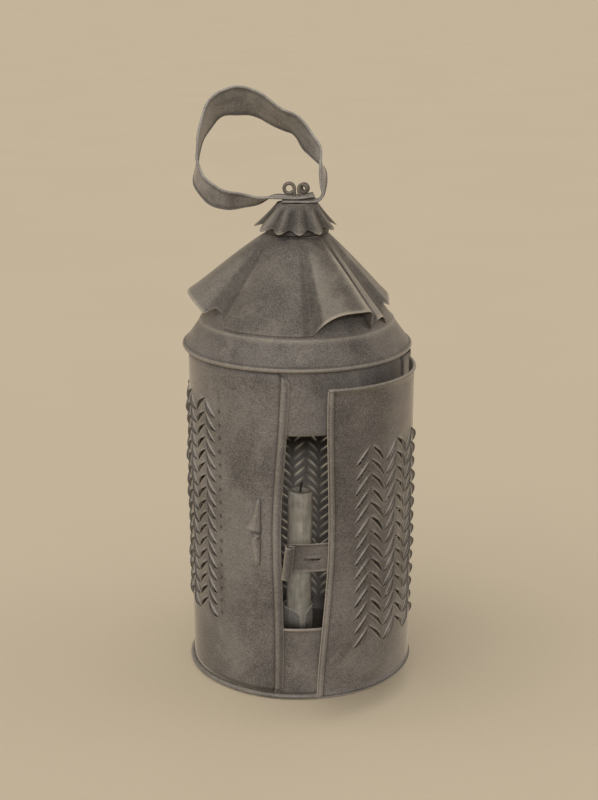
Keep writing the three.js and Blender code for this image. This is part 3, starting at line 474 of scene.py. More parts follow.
def punchedGrid(lead, field, tail, bottom, top):
    # field: where its strokes start, how many there are, and how they slope, bow and open
    angles, raises, armOf, along = fieldColumns(lead, field, tail)
    levels, follow, cellOf, place = fieldRows(bottom, field, top)
    z = levels[None, :] + raises[:, None] * follow[None, :]
    rise = np.zeros(z.shape)
    wornAndPaintedLight = np.zeros(z.shape)
    holes = np.zeros(z.shape, bool)
    for k in range(field["arms"]):
        columns = np.where(armOf == k)[0]
        columns = np.append(columns, columns[-1] + 1)
        u = np.append(along[columns[:-1]], 1.0)
        # heights of the lips below and above the slit
        lips = field["fallLips"] if (k % 2 == 0) == field["startsHigh"] else field["riseLips"]
        for r in range(field["rows"]):
            # no two slits are quite alike
            longer, wider, taller, shift = dice.uniform((-0.03, 0.75, 0.75, -0.35), (0.05, 1.25, 1.25, 0.35))
            begin = punch["ends"] - longer
            swell = np.sin(pi * np.clip((u - begin) / (1 - 2 * begin), 0, 1)) ** 0.75
            half = 0.5 * field["opening"] * wider * swell + punch["shut"]
            centre = field["low"] + (r + punch["slitAt"]) * field["pitch"] + shift * swell
            for j in np.where(cellOf == r)[0]:
                side = 1 if place[j] > 0 else -1
                offset = (aboveSlit if side > 0 else belowSlit)[abs(int(place[j])) - 1]
                lip = field["lip"] * lips[side > 0]
                z[columns, j] += centre + side * (half + offset) - levels[j]
                rise[columns, j] = lip * taller * swell * np.exp(-(offset / punch["reach"]) ** 1.5)
                # lip crests lighter, partly rubbing and partly painted highlight; the slit's edge gets
                # painted shade where the field's edge value is negative, painted light where positive
                wornAndPaintedLight[columns, j] = swell * (field["rubAndPaintedLight"] * bump(offset, punch["lipLightAt"], 0.5)
                                            + field["edge"] * bump(offset, 0, 0.4))
            openRow = np.where((cellOf == r) & (place == -len(belowSlit)))[0][0]
            for i, c in enumerate(columns[:-1]):
                holes[c, openRow] = swell[i] > 0 or swell[i + 1] > 0
    a = np.broadcast_to(angles[:, None], z.shape).copy()
    return a, z, rise, wornAndPaintedLight, holes


def sheetBlock(radius, a, z, rise, wornAndPaintedLight, holes):
    points = onCircle(radius + rise + handmade(a, z), a, z)
    return points, wornAndPaintedLight, gridFaces(a.shape[0], a.shape[1], holes=holes)


def foldedEdge(rim, side, steps, wearAndPaintedLight):
    # the free edge's fold, turned in and back behind the sheet: steps are (depth, push) pairs
    outward = rim * np.array([1, 1, 0])
    outward /= np.linalg.norm(outward, axis=1)[:, None]
    sideways = side * np.stack([-outward[:, 1], outward[:, 0], np.zeros(len(rim))], axis=1)
    points = np.array([rim - outward * depth + sideways * push for depth, push in steps])
    wornAndPaintedLight = np.repeat(np.array(wearAndPaintedLight)[:, None], len(rim), axis=1)
    return points, wornAndPaintedLight, gridFaces(len(points), len(rim))


def punchMarks(marks, at, radius, field, a, z, rise, wornAndPaintedLight):
    # a row of small punch marks beside the herringbone
    for k in range(field["rows"] + 1):
        level = field["low"] + (k + marks["up"]) * field["pitch"]
        level += dice.uniform(-marks["jitter"], marks["jitter"])
        off = ((a - at) * radians(1) * radius) ** 2 + (z - level) ** 2
        rise -= dice.uniform(*marks["depth"]) * np.exp(-off / marks["size"])
        rise += marks["rim"] * np.exp(-off / 9)
        # painted shade in each punch dent
        wornAndPaintedLight -= marks["paintedShade"] * np.exp(-off / marks["shadeSize"])


# the slits' edges get painted shade; the lip crests are lighter, partly rubbing and partly painted highlight
sideField = dict(arm=9.05, arms=9, rows=17, pitch=8.8, low=50.0, slope=radians(9.3) * 73, startsHigh=True,
                 fallBow=-0.11, riseBow=0.08, start=232.4, opening=1.85, lip=1.1, fallLips=(2.2, 1.3),
                 riseLips=(0.7, 2.1), rubAndPaintedLight=0.9, edge=-1.0)
leftMarks = dict(away=2.6, up=0.35, jitter=0.7, depth=(0.9, 1.3), size=1.7, rim=0.35, paintedShade=1.3,
                 shadeSize=2.0)


def leftSheet():
    field = sideField
    fieldEnd = field["start"] + field["arms"] * field["arm"]
    edge = shell["hemEdge"]
    hem = edge - arcOf(shell["hemWidth"], shell["radius"])
    lead = [shell["seam"] + shell["seamGap"]]
    tail = np.concatenate([
        np.linspace(fieldEnd + 0.5, fieldEnd + 6.0, 16),
        np.linspace(fieldEnd + 7.2, hem - 1.0, 20),
        hem + np.array([-0.55, -0.35, -0.15, 0, 0.15, 0.35, 0.7]),
        np.linspace(hem + 1.2, edge - 0.9, 3),
        edge + np.array([-0.55, -0.3, -0.1, 0]),
    ])
    a, z, rise, wornAndPaintedLight, holes = punchedGrid(lead, field, tail, shell["bottom"], shell["top"])
    middle = 0.5 * (shell["top"] + shell["bottom"])
    half = 0.5 * (shell["top"] - shell["bottom"])
    punchMarks(leftMarks, fieldEnd + leftMarks["away"], shell["radius"], field, a, z, rise, wornAndPaintedLight)
    onHem = softStep(hem - 0.35, hem + 0.25, a)
    rise += shell["hemRise"] * onHem * (1 - softStep(edge - 0.5, edge, a) * 0.5)
    rise -= 0.35 * bump(a, hem - 0.45, 0.35)
    # the hem lighter, partly rubbing and partly painted highlight; a painted shadow line beside it, and
    # painted shade along the sheet's foot
    wornAndPaintedLight = wornAndPaintedLight + 0.33 * bump(a, hem + 0.8, 0.8) + 0.2 * softStep(edge - 0.7, edge - 0.2, a)
    wornAndPaintedLight = wornAndPaintedLight - 0.9 * bump(a, hem - 0.5, 0.5) - 0.6 * bump(a, edge - 1.0, 0.4)
    wornAndPaintedLight = wornAndPaintedLight - shell["footGrime"] * bump(z, shell["bottom"], 1.1)
    corner = np.maximum(0, np.abs(z - middle) - (half - shell["corner"])) / shell["corner"]
    # the hemmed edge leans, and is bent away from the doorway at half height
    bent = shell["hemLean"] * (z - middle) / half - shell["bow"] * bump(z, shell["bowAt"], shell["bowSpan"])
    shifted = a + bent * softStep(hem - 14, hem - 0.4, a)
    shifted -= arcOf(shell["hemWidth"], shell["radius"]) * 0.55 * corner ** 2 * softStep(hem, edge, a)
    # away from the doorway the sheet runs on up under the roof's rim
    hidden = softStep(shell["top"] - 8, shell["top"], z) * (1 - softStep(edge - 7, edge - 2.5, a))
    z = z + (shell["raisedTop"] - shell["top"]) * hidden
    block = sheetBlock(shell["radius"], shifted, z, rise, wornAndPaintedLight, holes)
    fold = foldedEdge(block[0][-1], 1, ((0.0, 0.0), (0.35, 0.22), (0.8, 0.3), (1.25, 0.2), (1.55, -0.1),
                                        (1.6, -1.2), (1.6, -4.4)), [1, 0.9, 0.7, 0.4, 0.2, 0, 0])
    piece = buildMesh("bodySheetLeft", [block, fold])
    thicken(piece, sheet, inside=1)
    dress(piece, "lantern", ["body_sheet_left"], "tin", bodyTin, litInnerTin)


# the slits' edges get painted light; the lip crests are lighter, partly rubbing and partly painted highlight
backField = dict(start=97.9, arm=7.7, arms=16, rows=28, pitch=6.7, low=13.0, slope=radians(7.7) * 60,
                 startsHigh=True, fallBow=-0.04, riseBow=0.04, opening=1.1, lip=0.75,
                 fallLips=(2.2, 1.5), riseLips=(2.2, 1.5), rubAndPaintedLight=0.9, edge=1.0)


def backSheet():
    end = backField["start"] + backField["arms"] * backField["arm"]
    lead = np.linspace(shell["lapEdge"], backField["start"] - 1.2, 9)
    tail = np.linspace(end + 1.2, shell["seam"] - shell["seamGap"], 6)
    a, z, rise, wornAndPaintedLight, holes = punchedGrid(lead, backField, tail, shell["bottom"], shell["top"])
    # the sheet swells behind the door's top corner, with painted shade there and along the sheet's foot
    swollen = softStep(backSwell["fromLevel"], backSwell["toLevel"], z)
    rise += backSwell["rise"] * swollen * bump(a, backSwell["at"], backSwell["width"])
    wornAndPaintedLight = wornAndPaintedLight - shell["footGrime"] * bump(z, shell["bottom"], 1.1)
    wornAndPaintedLight = wornAndPaintedLight - 0.8 * softStep(196, 204, z) * bump(a, 86, 7)
    piece = buildMesh("bodySheetBack", [sheetBlock(shell["radius"], a, z, rise, wornAndPaintedLight, holes)])
    thicken(piece, sheet, inside=1)
    dress(piece, "lantern", ["body_sheet_right"], "tin", bodyTin, litInnerTin)


leftSheet()
backSheet()
print("body sheets punched")


# Door, built closed and swung about its hinge
door = dict(radius=75.9, bottom=17.0, top=222.5, hem=3.3, rise=1.3, bead=1.1, beadProud=0.2, freeEdge=-13.7,
            lean=2.5, bow=3.3, bowAt=116.0, bowSpan=66.0, topLift=2.8, bottomLift=1.0, ajar=25.2,
            hingeAngle=78.0, hingeRadius=76.3, hingeEdge=76.2)
beadTurns = np.array([-62, -40, -20, 0, 20, 42, 66, 92, 118, 145, 172, 196])
# the slits' edges get painted shade; the lip crests are lighter, partly rubbing and partly painted highlight
doorField = dict(start=2.5, arm=9.3, arms=6, rows=14, pitch=9.4, low=50.5, slope=radians(10.2) * 75.9,
                 startsHigh=False, fallBow=0.1, riseBow=0.0, opening=1.9, lip=1.1,
                 fallLips=(0.7, 2.1), riseLips=(2.2, 1.3), rubAndPaintedLight=0.9, edge=-1.0)
doorMarks = dict(away=-1.9, up=-0.1, jitter=0.9, depth=(0.3, 0.7), size=1.6, rim=0.0, paintedShade=0.35,
                 shadeSize=1.3)
hingeFoot = onCircle(door["hingeRadius"], door["hingeAngle"], 0.0)
doorTurn = Matrix.Translation(Vector(hingeFoot * mm)) @ Matrix.Rotation(radians(door["ajar"]), 4, "Z") \
    @ Matrix.Translation(Vector(-hingeFoot * mm))


def doorSheet():
    free = door["freeEdge"]
    hem = free + arcOf(door["hem"], door["radius"])
    fieldEnd = doorField["start"] + doorField["arms"] * doorField["arm"]
    bead = door["bead"]
    low, high = door["bottom"] + 2 * bead, door["top"] - 2 * bead
    lead = np.concatenate([
        free + np.array([0, 0.1, 0.3, 0.55]), np.linspace(free + 0.9, hem - 0.8, 3),
        hem + np.array([-0.45, -0.25, -0.1, 0, 0.15, 0.35, 0.6]),
        np.linspace(hem + 1.2, doorField["start"] - 3.4, 8),
        np.linspace(doorField["start"] - 3.0, doorField["start"] - 0.5, 8),
    ])
    tail = np.linspace(fieldEnd + 1.2, door["hingeEdge"], 10)
    a, z, rise, wornAndPaintedLight, holes = punchedGrid(lead, doorField, tail, low, high)
    punchMarks(doorMarks, doorField["start"] + doorMarks["away"], door["radius"], doorField, a, z, rise, wornAndPaintedLight)

    # rolled beads along the bottom and top edges, as further rows of the same grid
    turns = beadTurns
    out = door["beadProud"] + bead * np.cos(np.radians(turns))
    up = bead * np.sin(np.radians(turns))
    # the beads' tops lighter, partly rubbing and partly painted highlight, and painted shade on their
    # undersides
    rubAndPaintedLight = 0.4 * bump(turns, 50, 45) - 0.8 * bump(turns, -62, 30)
    lowBeadRubAndLight = 0.4 * bump(turns, -8, 24) - 0.9 * bump(turns, -62, 28) - 0.5 * bump(turns, 60, 30)
    rows = (a.shape[0], len(turns))

    def between(lowRow, grid, topRow):
        # the low bead's rows, from its far side in, then the grid's and the top bead's
        return np.hstack([np.broadcast_to(lowRow[::-1], rows), grid, np.broadcast_to(topRow, rows)])

    a = np.hstack([np.repeat(a[:, :1], len(turns), 1), a, np.repeat(a[:, :1], len(turns), 1)])
    z = between(door["bottom"] + bead - up, z, door["top"] - bead + up)
    rise = between(out, rise, out)
    wornAndPaintedLight = between(lowBeadRubAndLight, wornAndPaintedLight, rubAndPaintedLight)
    holes = between(np.zeros(len(turns), bool), holes, np.zeros(len(turns), bool))

    inner = 1 - softStep(hem - 0.2, hem + 0.3, a)
    onHem = door["rise"] * inner * (1 - 0.5 * (1 - softStep(free, free + 0.5, a)))
    plainRows = (z > door["bottom"] + bead) & (z < door["top"] - bead)
    rise = np.where(plainRows, np.maximum(rise, onHem), rise) - 0.35 * bump(a, hem + 0.45, 0.3)
    # the free edge and hem fold lighter, partly rubbing and partly painted highlight, with painted shadow
    # lines beside the hem and at the free edge
    wornAndPaintedLight = wornAndPaintedLight + 0.45 * bump(a, free + 1.0, 0.75) + 0.15 * bump(a, hem - 0.25, 0.3)
    wornAndPaintedLight = wornAndPaintedLight - 0.6 * bump(a, hem + 0.6, 0.5) * plainRows - 0.5 * bump(a, free, 0.3)
    middle, half = 0.5 * (door["top"] + door["bottom"]), 0.5 * (door["top"] - door["bottom"])
    # the free edge leans and is bowed, and the door rises towards it
    bent = door["lean"] * (z - middle) / half + door["bow"] * bump(z, door["bowAt"], door["bowSpan"])
    fromHinge = (door["hingeEdge"] - a) / (door["hingeEdge"] - free)
    a = a + bent * (1 - softStep(hem + 0.3, hem + 12, a))
    upper = (z - door["bottom"]) / (2 * half)
    z = z + fromHinge * (door["topLift"] * upper + door["bottomLift"] * (1 - upper))
    block = sheetBlock(door["radius"], a, z, rise, wornAndPaintedLight, holes)
    rim = block[0][0][len(turns) - 3:3 - len(turns)]
    foldSteps = ((1.6, -3.4), (1.6, -1.0), (1.5, 0.05), (1.15, 0.24), (0.7, 0.3), (0.3, 0.2), (0, 0))
    fold = foldedEdge(rim, -1, foldSteps, [0, 0, 0.2, 0.5, 0.8, 1, 1])
    piece = buildMesh("doorSheet", [block, fold])
    piece.data.transform(doorTurn)
    thicken(piece, sheet, inside=1)
    dress(piece, "door", ["door_panel"], "tin", shadedDoorTin, litInnerTin)


doorSheet()
print("door punched")


# Hasp, built closed on the door: a strap with a rolled top edge, a lipped slot and a rolled end
hasp = dict(inner=74.35, root=-5.5, end=-29.4, bottom=106.5, top=125.5, level=114.5, slotFrom=-22.1,
            slotTo=-14.3, slotHalf=0.65, curlBottom=102.8, curlTop=124.5, curlRadius=3.0, curlIn=0.42,
            curlTurn=400, tilt=2.4)


def haspStrap():
    outer = hasp["inner"] + 0.75
    bottom, top, level = hasp["bottom"], hasp["top"], hasp["level"]
    slotFrom, slotTo = hasp["slotFrom"], hasp["slotTo"]
    flat = np.concatenate([
        np.linspace(hasp["root"], slotTo, 8),
        np.linspace(slotTo - 0.5, slotFrom + 0.5, 16),
        np.linspace(slotFrom, hasp["end"], 8),
    ])
    curl = np.linspace(0, hasp["curlTurn"], 46)[1:]
    end = radians(hasp["end"])
    outward = np.array([sin(end), -cos(end), 0])
    onward = np.array([-cos(end), -sin(end), 0])
    slotHalf = hasp["slotHalf"]
    levels = np.concatenate([
        [bottom, bottom + 0.35, bottom + 0.9],
        np.linspace(bottom + 2, level - 1.8, 5),
        level + np.array([-1.4, -slotHalf, slotHalf, 1.0, 1.6, 2.1, 2.8]),
        np.linspace(level + 4, top - 1.9, 5),
        [top - 1.3, top - 0.9, top - 0.45, top],
    ])
    share = (levels - bottom) / (top - bottom)
    points, wornAndPaintedLight = [], []
    for angle in flat:
        slotted = softStep(slotFrom - 0.2, slotFrom + 2.4, angle)
        slotted *= 1 - softStep(slotTo - 2, slotTo + 0.2, angle)
        # a pressed lip over the slot, and rolled edges
        rise = 0.75 * slotted * bump(levels, level + 1.5, 0.9) * (levels > level)
        rise += 0.5 * bump(levels, top - 0.5, 0.6) + 0.3 * bump(levels, bottom + 0.4, 0.6)
        rise += 0.12 * np.sin(angle * 1.3 + levels * 0.35) - 0.1 * bump(levels, top - 2, 0.6)
        points.append(onCircle(outer + rise, angle, levels))
        # rolled edges and the slot's lip lighter, partly rubbing and partly painted highlight; painted shade
        # under them, round the slot and near the end
        rubAndPaintedLight = 0.5 * bump(levels, top - 0.5, 0.4) - 0.6 * bump(levels, top - 1.7, 0.5)
        rubAndPaintedLight += 0.4 * bump(levels, bottom + 0.5, 0.5) - 0.3 * bump(levels, bottom + 1.9, 0.6)
        rubAndPaintedLight += slotted * (0.2 * bump(levels, level + 1.8, 0.5) - 0.5 * bump(levels, level + 3.4, 0.8))
        rubAndPaintedLight -= 1.2 * slotted * bump(levels, level, 1.05) + 0.3 * bump(angle, hasp["end"] + 1.6, 1.4)
        wornAndPaintedLight.append(rubAndPaintedLight)
    centre = outward * (outer + hasp["curlRadius"])
    for turn in curl:
        t = radians(turn)
        size = hasp["curlRadius"] * (1 - hasp["curlIn"] * turn / hasp["curlTurn"])
        place = centre - outward * size * cos(t) + onward * size * sin(t)
        grown = float(softStep(0, 50, turn))
        low = bottom + (hasp["curlBottom"] - bottom) * grown
        high = top + (hasp["curlTop"] - top) * grown
        column = np.repeat(place[None, :], len(levels), 0)
        column[:, 2] = low + (high - low) * share
        column += onward[None, :] * ((0.5 - share) * hasp["tilt"] * grown)[:, None]
        points.append(column)
        # painted light on one side of the roll and painted shade round the rest
        curlLightAndShade = 0.35 * bump(turn, 120, 50) - 0.9 * bump(turn, 30, 30) - 0.5 * bump(turn, 230, 60)
        wornAndPaintedLight.append(0.6 * bump(share, 1, 0.04) + 0.5 * bump(share, 0, 0.04) + curlLightAndShade)
    points = np.array(points)
    holes = np.zeros(points.shape[:2], bool)
    slotRow = int(np.argmin(np.abs(levels - level + slotHalf)))
    for i in range(len(flat) - 1):
        holes[i, slotRow] = slotFrom - 0.1 <= flat[i + 1] and flat[i] <= slotTo + 0.1
    block = (points, np.clip(np.array(wornAndPaintedLight), -1, 1), gridFaces(points.shape[0], points.shape[1], holes=holes))
    piece = buildMesh("haspStrap", [block], flip=True)
    piece.data.transform(doorTurn)
    thicken(piece, 0.5)
    dress(piece, "door", ["hasp"], "tin", shadedDoorTin)


# Staple: a folded plate soldered to the body, pinched into a tab that the hasp's slot passes over
staple = dict(radius=73.95, level=114.5, top=140.8, bottom=94.3, tabReach=4.6, tab=0.35)


def stapleLeaf():
    level, tab, reach = staple["level"], staple["tab"], staple["tabReach"]
    # level, left angle, right angle, rise of the left and right edges above the plate's outer face, wear and
    # painted light
    # the wing's widest fold and the tab are lighter, partly rubbing and partly painted highlight; the rows
    # where the wing folds in to the tab carry painted shade
    rows = [
        (staple["top"], -20.6, -19.0, 0, 0, 0.6),
        (136, -21.4, -18.8, 0.1, 0.1, 0.45),
        (130, -22.9, -18.7, 0.15, 0.1, 0.4),
        (124.5, -24.9, -18.6, 0.05, 0.0, 0.4),
        (121.2, -26.8, -18.5, 0.1, 0.05, 0.6),
        (120, -27.4, -18.4, 0.15, 0.1, 0.9),
        (118.8, -26.6, -18.5, 0.05, 0.0, 0.5),
        (117, -24.6, -18.7, -0.05, 0.0, -1.2),
        (115.9, -23.6, -18.9, 0.0, 0.0, -1.0),
        (level + tab + 0.2, -22.0, -19.2, 0.3, 0.2, 0.6),
        (level + tab, -21.5, -19.4, 2.6, 2.3, 0.9),
        (level + tab - 0.1, -21.5, -19.5, reach, reach - 0.5, 1.0),
        (level - tab + 0.1, -21.5, -19.5, reach, reach - 0.5, 0.8),
        (level - tab, -21.5, -19.5, 2.4, 2.2, 0.2),
        (level - tab - 0.2, -22.2, -19.2, 0.3, 0.2, 0.0),
        (112.6, -24.6, -18.7, 0.1, 0.0, 0.4),
        (108, -24.0, -18.8, 0.1, 0, 0.45),
        (102, -23.2, -19.0, 0.05, 0, 0.45),
        (97, -22.4, -19.2, 0, 0, 0.45),
        (staple["bottom"], -21.9, -19.5, 0, 0, 0.5),
    ]
    share = np.linspace(0, 1, 7)
    # painted shade along the left and right edges and the fold
    paintedShade = 0.7 * bump(share, 0, 0.1) + 1.3 * bump(share, 1, 0.16) + 0.5 * bump(share, 0.66, 0.12)
    points, wornAndPaintedLight = [], []
    for z, leftAngle, rightAngle, leftRise, rightRise, rubAndPaintedLight in rows[::-1]:
        angle = leftAngle + (rightAngle - leftAngle) * share
        rise = leftRise + (rightRise - leftRise) * share
        points.append(onCircle(staple["radius"] + rise, angle, z))
        wornAndPaintedLight.append(0.6 * rubAndPaintedLight - paintedShade)
    points = np.array(points).transpose(1, 0, 2)
    wornAndPaintedLight = np.clip(np.array(wornAndPaintedLight).T, -1, 1)
    piece = buildMesh("stapleLeaf", [(points, wornAndPaintedLight, gridFaces(points.shape[0], points.shape[1]))])
    thicken(piece, 0.35)
    dress(piece, "lantern", ["staple"], "tin", bodyTin)


haspStrap()
stapleLeaf()
print("hasp and staple ready")


# Bands and base
band = dict(radius=71.85, headBottom=184.0, headTop=232.4, sillBottom=2.3, sillTop=50.0, roll=0.7)


def bandPiece(name, node, fromAngle, toAngle, bottom, top, roll):
    profile = [[band["radius"], z] for z in np.linspace(bottom, top - 2 * roll, 24)]
    wearAndPaintedLight = [0.5] + [0.0] * 23
    if roll:
        profile += beadProfile(band["radius"] - 0.2, top - roll, roll + 0.2, -60, 150, 8)
        wearAndPaintedLight += [0.3, 0.5, 0.7, 0.9, 1.0, 1.0, 0.9, 0.6, 0.4]
    segments = max(24, int((toAngle - fromAngle) / 2))
    piece = buildMesh(name, [latheBlock(profile, wearAndPaintedLight, segments, 0.12, fromAngle, toAngle)])
    thicken(piece, sheet, inside=1)
    dress(piece, "lantern", [node], "tin", bodyTin, litInnerTin)


bandPiece("headBand", "head_band", 0, 360, band["headBottom"], band["headTop"], 0)
bandPiece("doorSill", "door_sill", -34, 78, band["sillBottom"], band["sillTop"], band["roll"])

base = dict(beadAt=74.0, bead=1.75, wobble=0.3, floor=0.8, flange=70.9, flangeTop=12.0, plate=0.6)


def basePan():
    flange, floor = base["flange"], base["floor"]
    profile = [[0, 0.0], [20, 0.02], [45, 0.0], [68, 0.0]]
    profile += beadProfile(base["beadAt"], base["bead"], base["bead"], -90, 175, 12)
    profile += [[flange + 0.5, base["bead"]], [flange, base["bead"] + 0.5], [flange, base["flangeTop"]],
                [flange - base["plate"], base["flangeTop"]], [flange - base["plate"], floor + 0.5],
                [flange - 2 * base["plate"], floor], [45, floor], [20, floor], [0, floor]]
    # the bead's top slightly lighter, rubbed; painted shade on its inner side and up the flange, under the
    # sheets
    wearAndPaintedLight = [0] * 4 + [0, 0, 0, 0, 0.1, 0.15, 0.25, 0.3, 0.2, 0, -0.5, -0.9, -1] + [-1, -0.8] + [0] * 7
    piece = buildMesh("basePan", [latheBlock(profile, wearAndPaintedLight, wobble=base["wobble"])])
    dress(piece, "lantern", ["base_pan"], "tin", bodyTin)


basePan()
print("bands and base ready")


# Roof cone, vent hood and crown
roof = dict(rimRadius=75.2, rim=1.75, rimLevel=228.2, ridgeRadius=64.5, ridgeLevel=245.0, topRadius=18.0,
            topLevel=304.0, sag=0.25, wobble=0.3)
coneSlope = (roof["topLevel"] - roof["ridgeLevel"]) / (roof["ridgeRadius"] - roof["topRadius"])
skirtSlope = (roof["ridgeLevel"] - roof["rimLevel"] - roof["rim"]) / (roof["rimRadius"] - roof["ridgeRadius"])


def roofLevel(radius):
    inward = roof["ridgeRadius"] - radius
    return roof["ridgeLevel"] + inward * np.where(inward < 0, skirtSlope, coneSlope)


def roofCone():
    rim = beadProfile(roof["rimRadius"], roof["rimLevel"], roof["rim"], -175, 98, 16)
    # the rim bead darker underneath, painted shade, and lighter over its top, partly rubbing and partly
    # painted highlight
    rimRubAndShade = [-0.6, -0.6, -0.5, -0.3, -0.1, 0, 0.1, 0.2, 0.3, 0.45, 0.55, 0.55, 0.4, 0.1, -0.3, -0.5, -0.3]
    ridge, top = roof["ridgeRadius"], roof["ridgeLevel"]
    run = roof["rimRadius"] - ridge
    skirt = []
    for r in np.linspace(ridge + run - 0.8, ridge + 1.4, 10):
        skirt.append([r, float(roofLevel(r)) - roof["sag"] * sin(pi * (r - ridge) / run)])
    # the folded ridge: distances out from it and up
    foldSteps = ((0.85, -0.85), (0.5, 0), (-0.1, 0.45), (-0.7, 0.6), (-1.3, 1.2))
    fold = [[ridge + out, top + up] for out, up in foldSteps]
    cone = [[r, float(roofLevel(r))] for r in np.linspace(ridge - 2.1, roof["topRadius"], 30)]
    # the ridge's fold lighter, partly rubbing and partly painted highlight
    wearAndPaintedLight = rimRubAndShade + [0.0] * 9 + [0.1] + [0.3, 0.5, 0.45, 0.2, 0.0] + [0.0] * 30
    piece = buildMesh("roofCone", [latheBlock(rim + skirt + fold + cone, wearAndPaintedLight, 216, roof["wobble"])])
    thicken(piece, sheet, inside=1)
    dress(piece, "lantern", ["roof_cone"], "roof_tin", roofTin, litInnerTin)


hood = dict(topRadius=20.0, seat=0.95, swell=0.85, columns=420, steps=34, lip=0.5, foldShading=4.0)
flutes = [
    dict(at=-90, left=34, right=32, lift=16.0, spread=9.0, leftPower=2.5, rightPower=3.3),
    dict(at=33, left=24, right=15, lift=14.5, spread=6.5, leftPower=3.0, rightPower=6.0),
    dict(at=57, left=8, right=9, lift=6.0, spread=1.0, leftPower=2.0, rightPower=2.0),
    dict(at=95, left=20, right=36, lift=14.0, spread=-3.3, leftPower=3.0, rightPower=2.5),
    dict(at=196, left=36, right=36, lift=15.0, spread=7.0, leftPower=2.5, rightPower=2.5),
]
tucks = [
    dict(at=-60, left=3, right=11, leftPower=2.0, rightPower=2.0, draw=5.5),
    dict(at=75, left=7, right=5, leftPower=2.0, rightPower=2.0, draw=5.5),
]


def shareOf(wave, angles):
    off = (angles - wave["at"] + 540) % 360 - 180
    out = np.abs(off) / np.where(off < 0, wave["left"], wave["right"])
    power = np.where(off < 0, wave["leftPower"], wave["rightPower"])
    return np.where(out < 1, 1 - np.minimum(out, 1) ** power, 0)


def ventHood():
    angles = np.linspace(-180, 180, hood["columns"], endpoint=False)
    t = np.concatenate([np.linspace(0, 0.96, hood["steps"]), [0.975, 0.988, 1.0]])
    lift = sum(shareOf(flute, angles) * flute["lift"] for flute in flutes)
    spread = sum(shareOf(flute, angles) * flute["spread"] for flute in flutes)
    edge = roof["ridgeRadius"] - 1 - sum(shareOf(tuck, angles) * tuck["draw"] for tuck in tucks)
    r = hood["topRadius"] + (edge[:, None] - hood["topRadius"]) * t[None, :]
    z = roofLevel(r) + hood["seat"] + lift[:, None] * t[None, :] ** hood["swell"]
    a = np.broadcast_to(angles[:, None], r.shape)
    r = r + spread[:, None] * t[None, :] ** hood["swell"]
    standing = np.clip(lift / 6, 0, 1)[:, None]
    z = z + 0.35 * np.sin(np.radians(a) * 7 + t[None, :] * 5 + 0.6) * t[None, :] * standing
    # the lowest part of the standing flutes bells out and curls under
    curl = softStep(0.9, 1.0, t)[None, :]
    r = r + standing * hood["lip"] * curl
    rim = softStep(0.962, 0.99, t)[None, :] * (0.12 + 0.7 * standing)
    # painted highlights on ridges and painted shade in valleys, from how sharply the sheet bends along each
    # ring
    bend = np.gradient(np.gradient(lift)) * (hood["columns"] / 360) ** 2
    ridge = np.convolve(np.concatenate([bend[-6:], bend, bend[:6]]), np.ones(13) / 13, "valid")
    foldLightAndShade = np.clip(-ridge * hood["foldShading"], -1, 1)[:, None] * softStep(0.05, 0.4, t)[None, :]
    # painted shade on both sides of the left flute
    fluteShade = 0.3 * (bump(a, -62, 7) + bump(a, -112, 9)) * softStep(0.1, 0.5, t)[None, :]
    wornAndPaintedLight = np.clip(rim + foldLightAndShade - fluteShade, -1, 1)
    block = (onCircle(r, a, z), wornAndPaintedLight, gridFaces(len(angles), len(t), closedAcross=True))
    piece = buildMesh("ventHood", [block], flip=True)
    thicken(piece, 0.5, inside=1)
    dress(piece, "lantern", ["vent_hood"], "roof_tin", shadedHoodTin, litInnerTin)


crown = dict(capFoot=(21.0, 303.4), capTop=(12.4, 321.6), bore=3.3)


def crownCap():
    (footR, footZ), (topR, topZ) = crown["capFoot"], crown["capTop"]
    profile = [[footR, footZ], [footR - 0.1, footZ + 0.5]]
    profile += [[footR + (topR - footR) * t, footZ + (topZ - footZ) * t] for t in np.linspace(0.08, 0.96, 12)]
    profile += [[topR - 0.3, topZ - 0.2], [topR - 1.0, topZ], [8, topZ], [crown["bore"], topZ]]
    # painted shade on the cap's foot under the ruffle; its top edge rubbed lighter
    wearAndPaintedLight = [-0.8, -0.9] + [-0.6] * 4 + [0] * 8 + [0.3, 0.2, 0, 0]
    piece = buildMesh("crownCap", [latheBlock(profile, wearAndPaintedLight, 120, 0.1)])
    thicken(piece, sheet)
    dress(piece, "lantern", ["crown_cap"], "roof_tin", roofTin)


ruffle = dict(pleats=12, pleatSteps=24, phase=6.0, foot=(25.3, 306.2), top=(13.5, 321.9), depth=2.3,
              drop=1.3, sideLift=2.4, leanLeft=1.3)


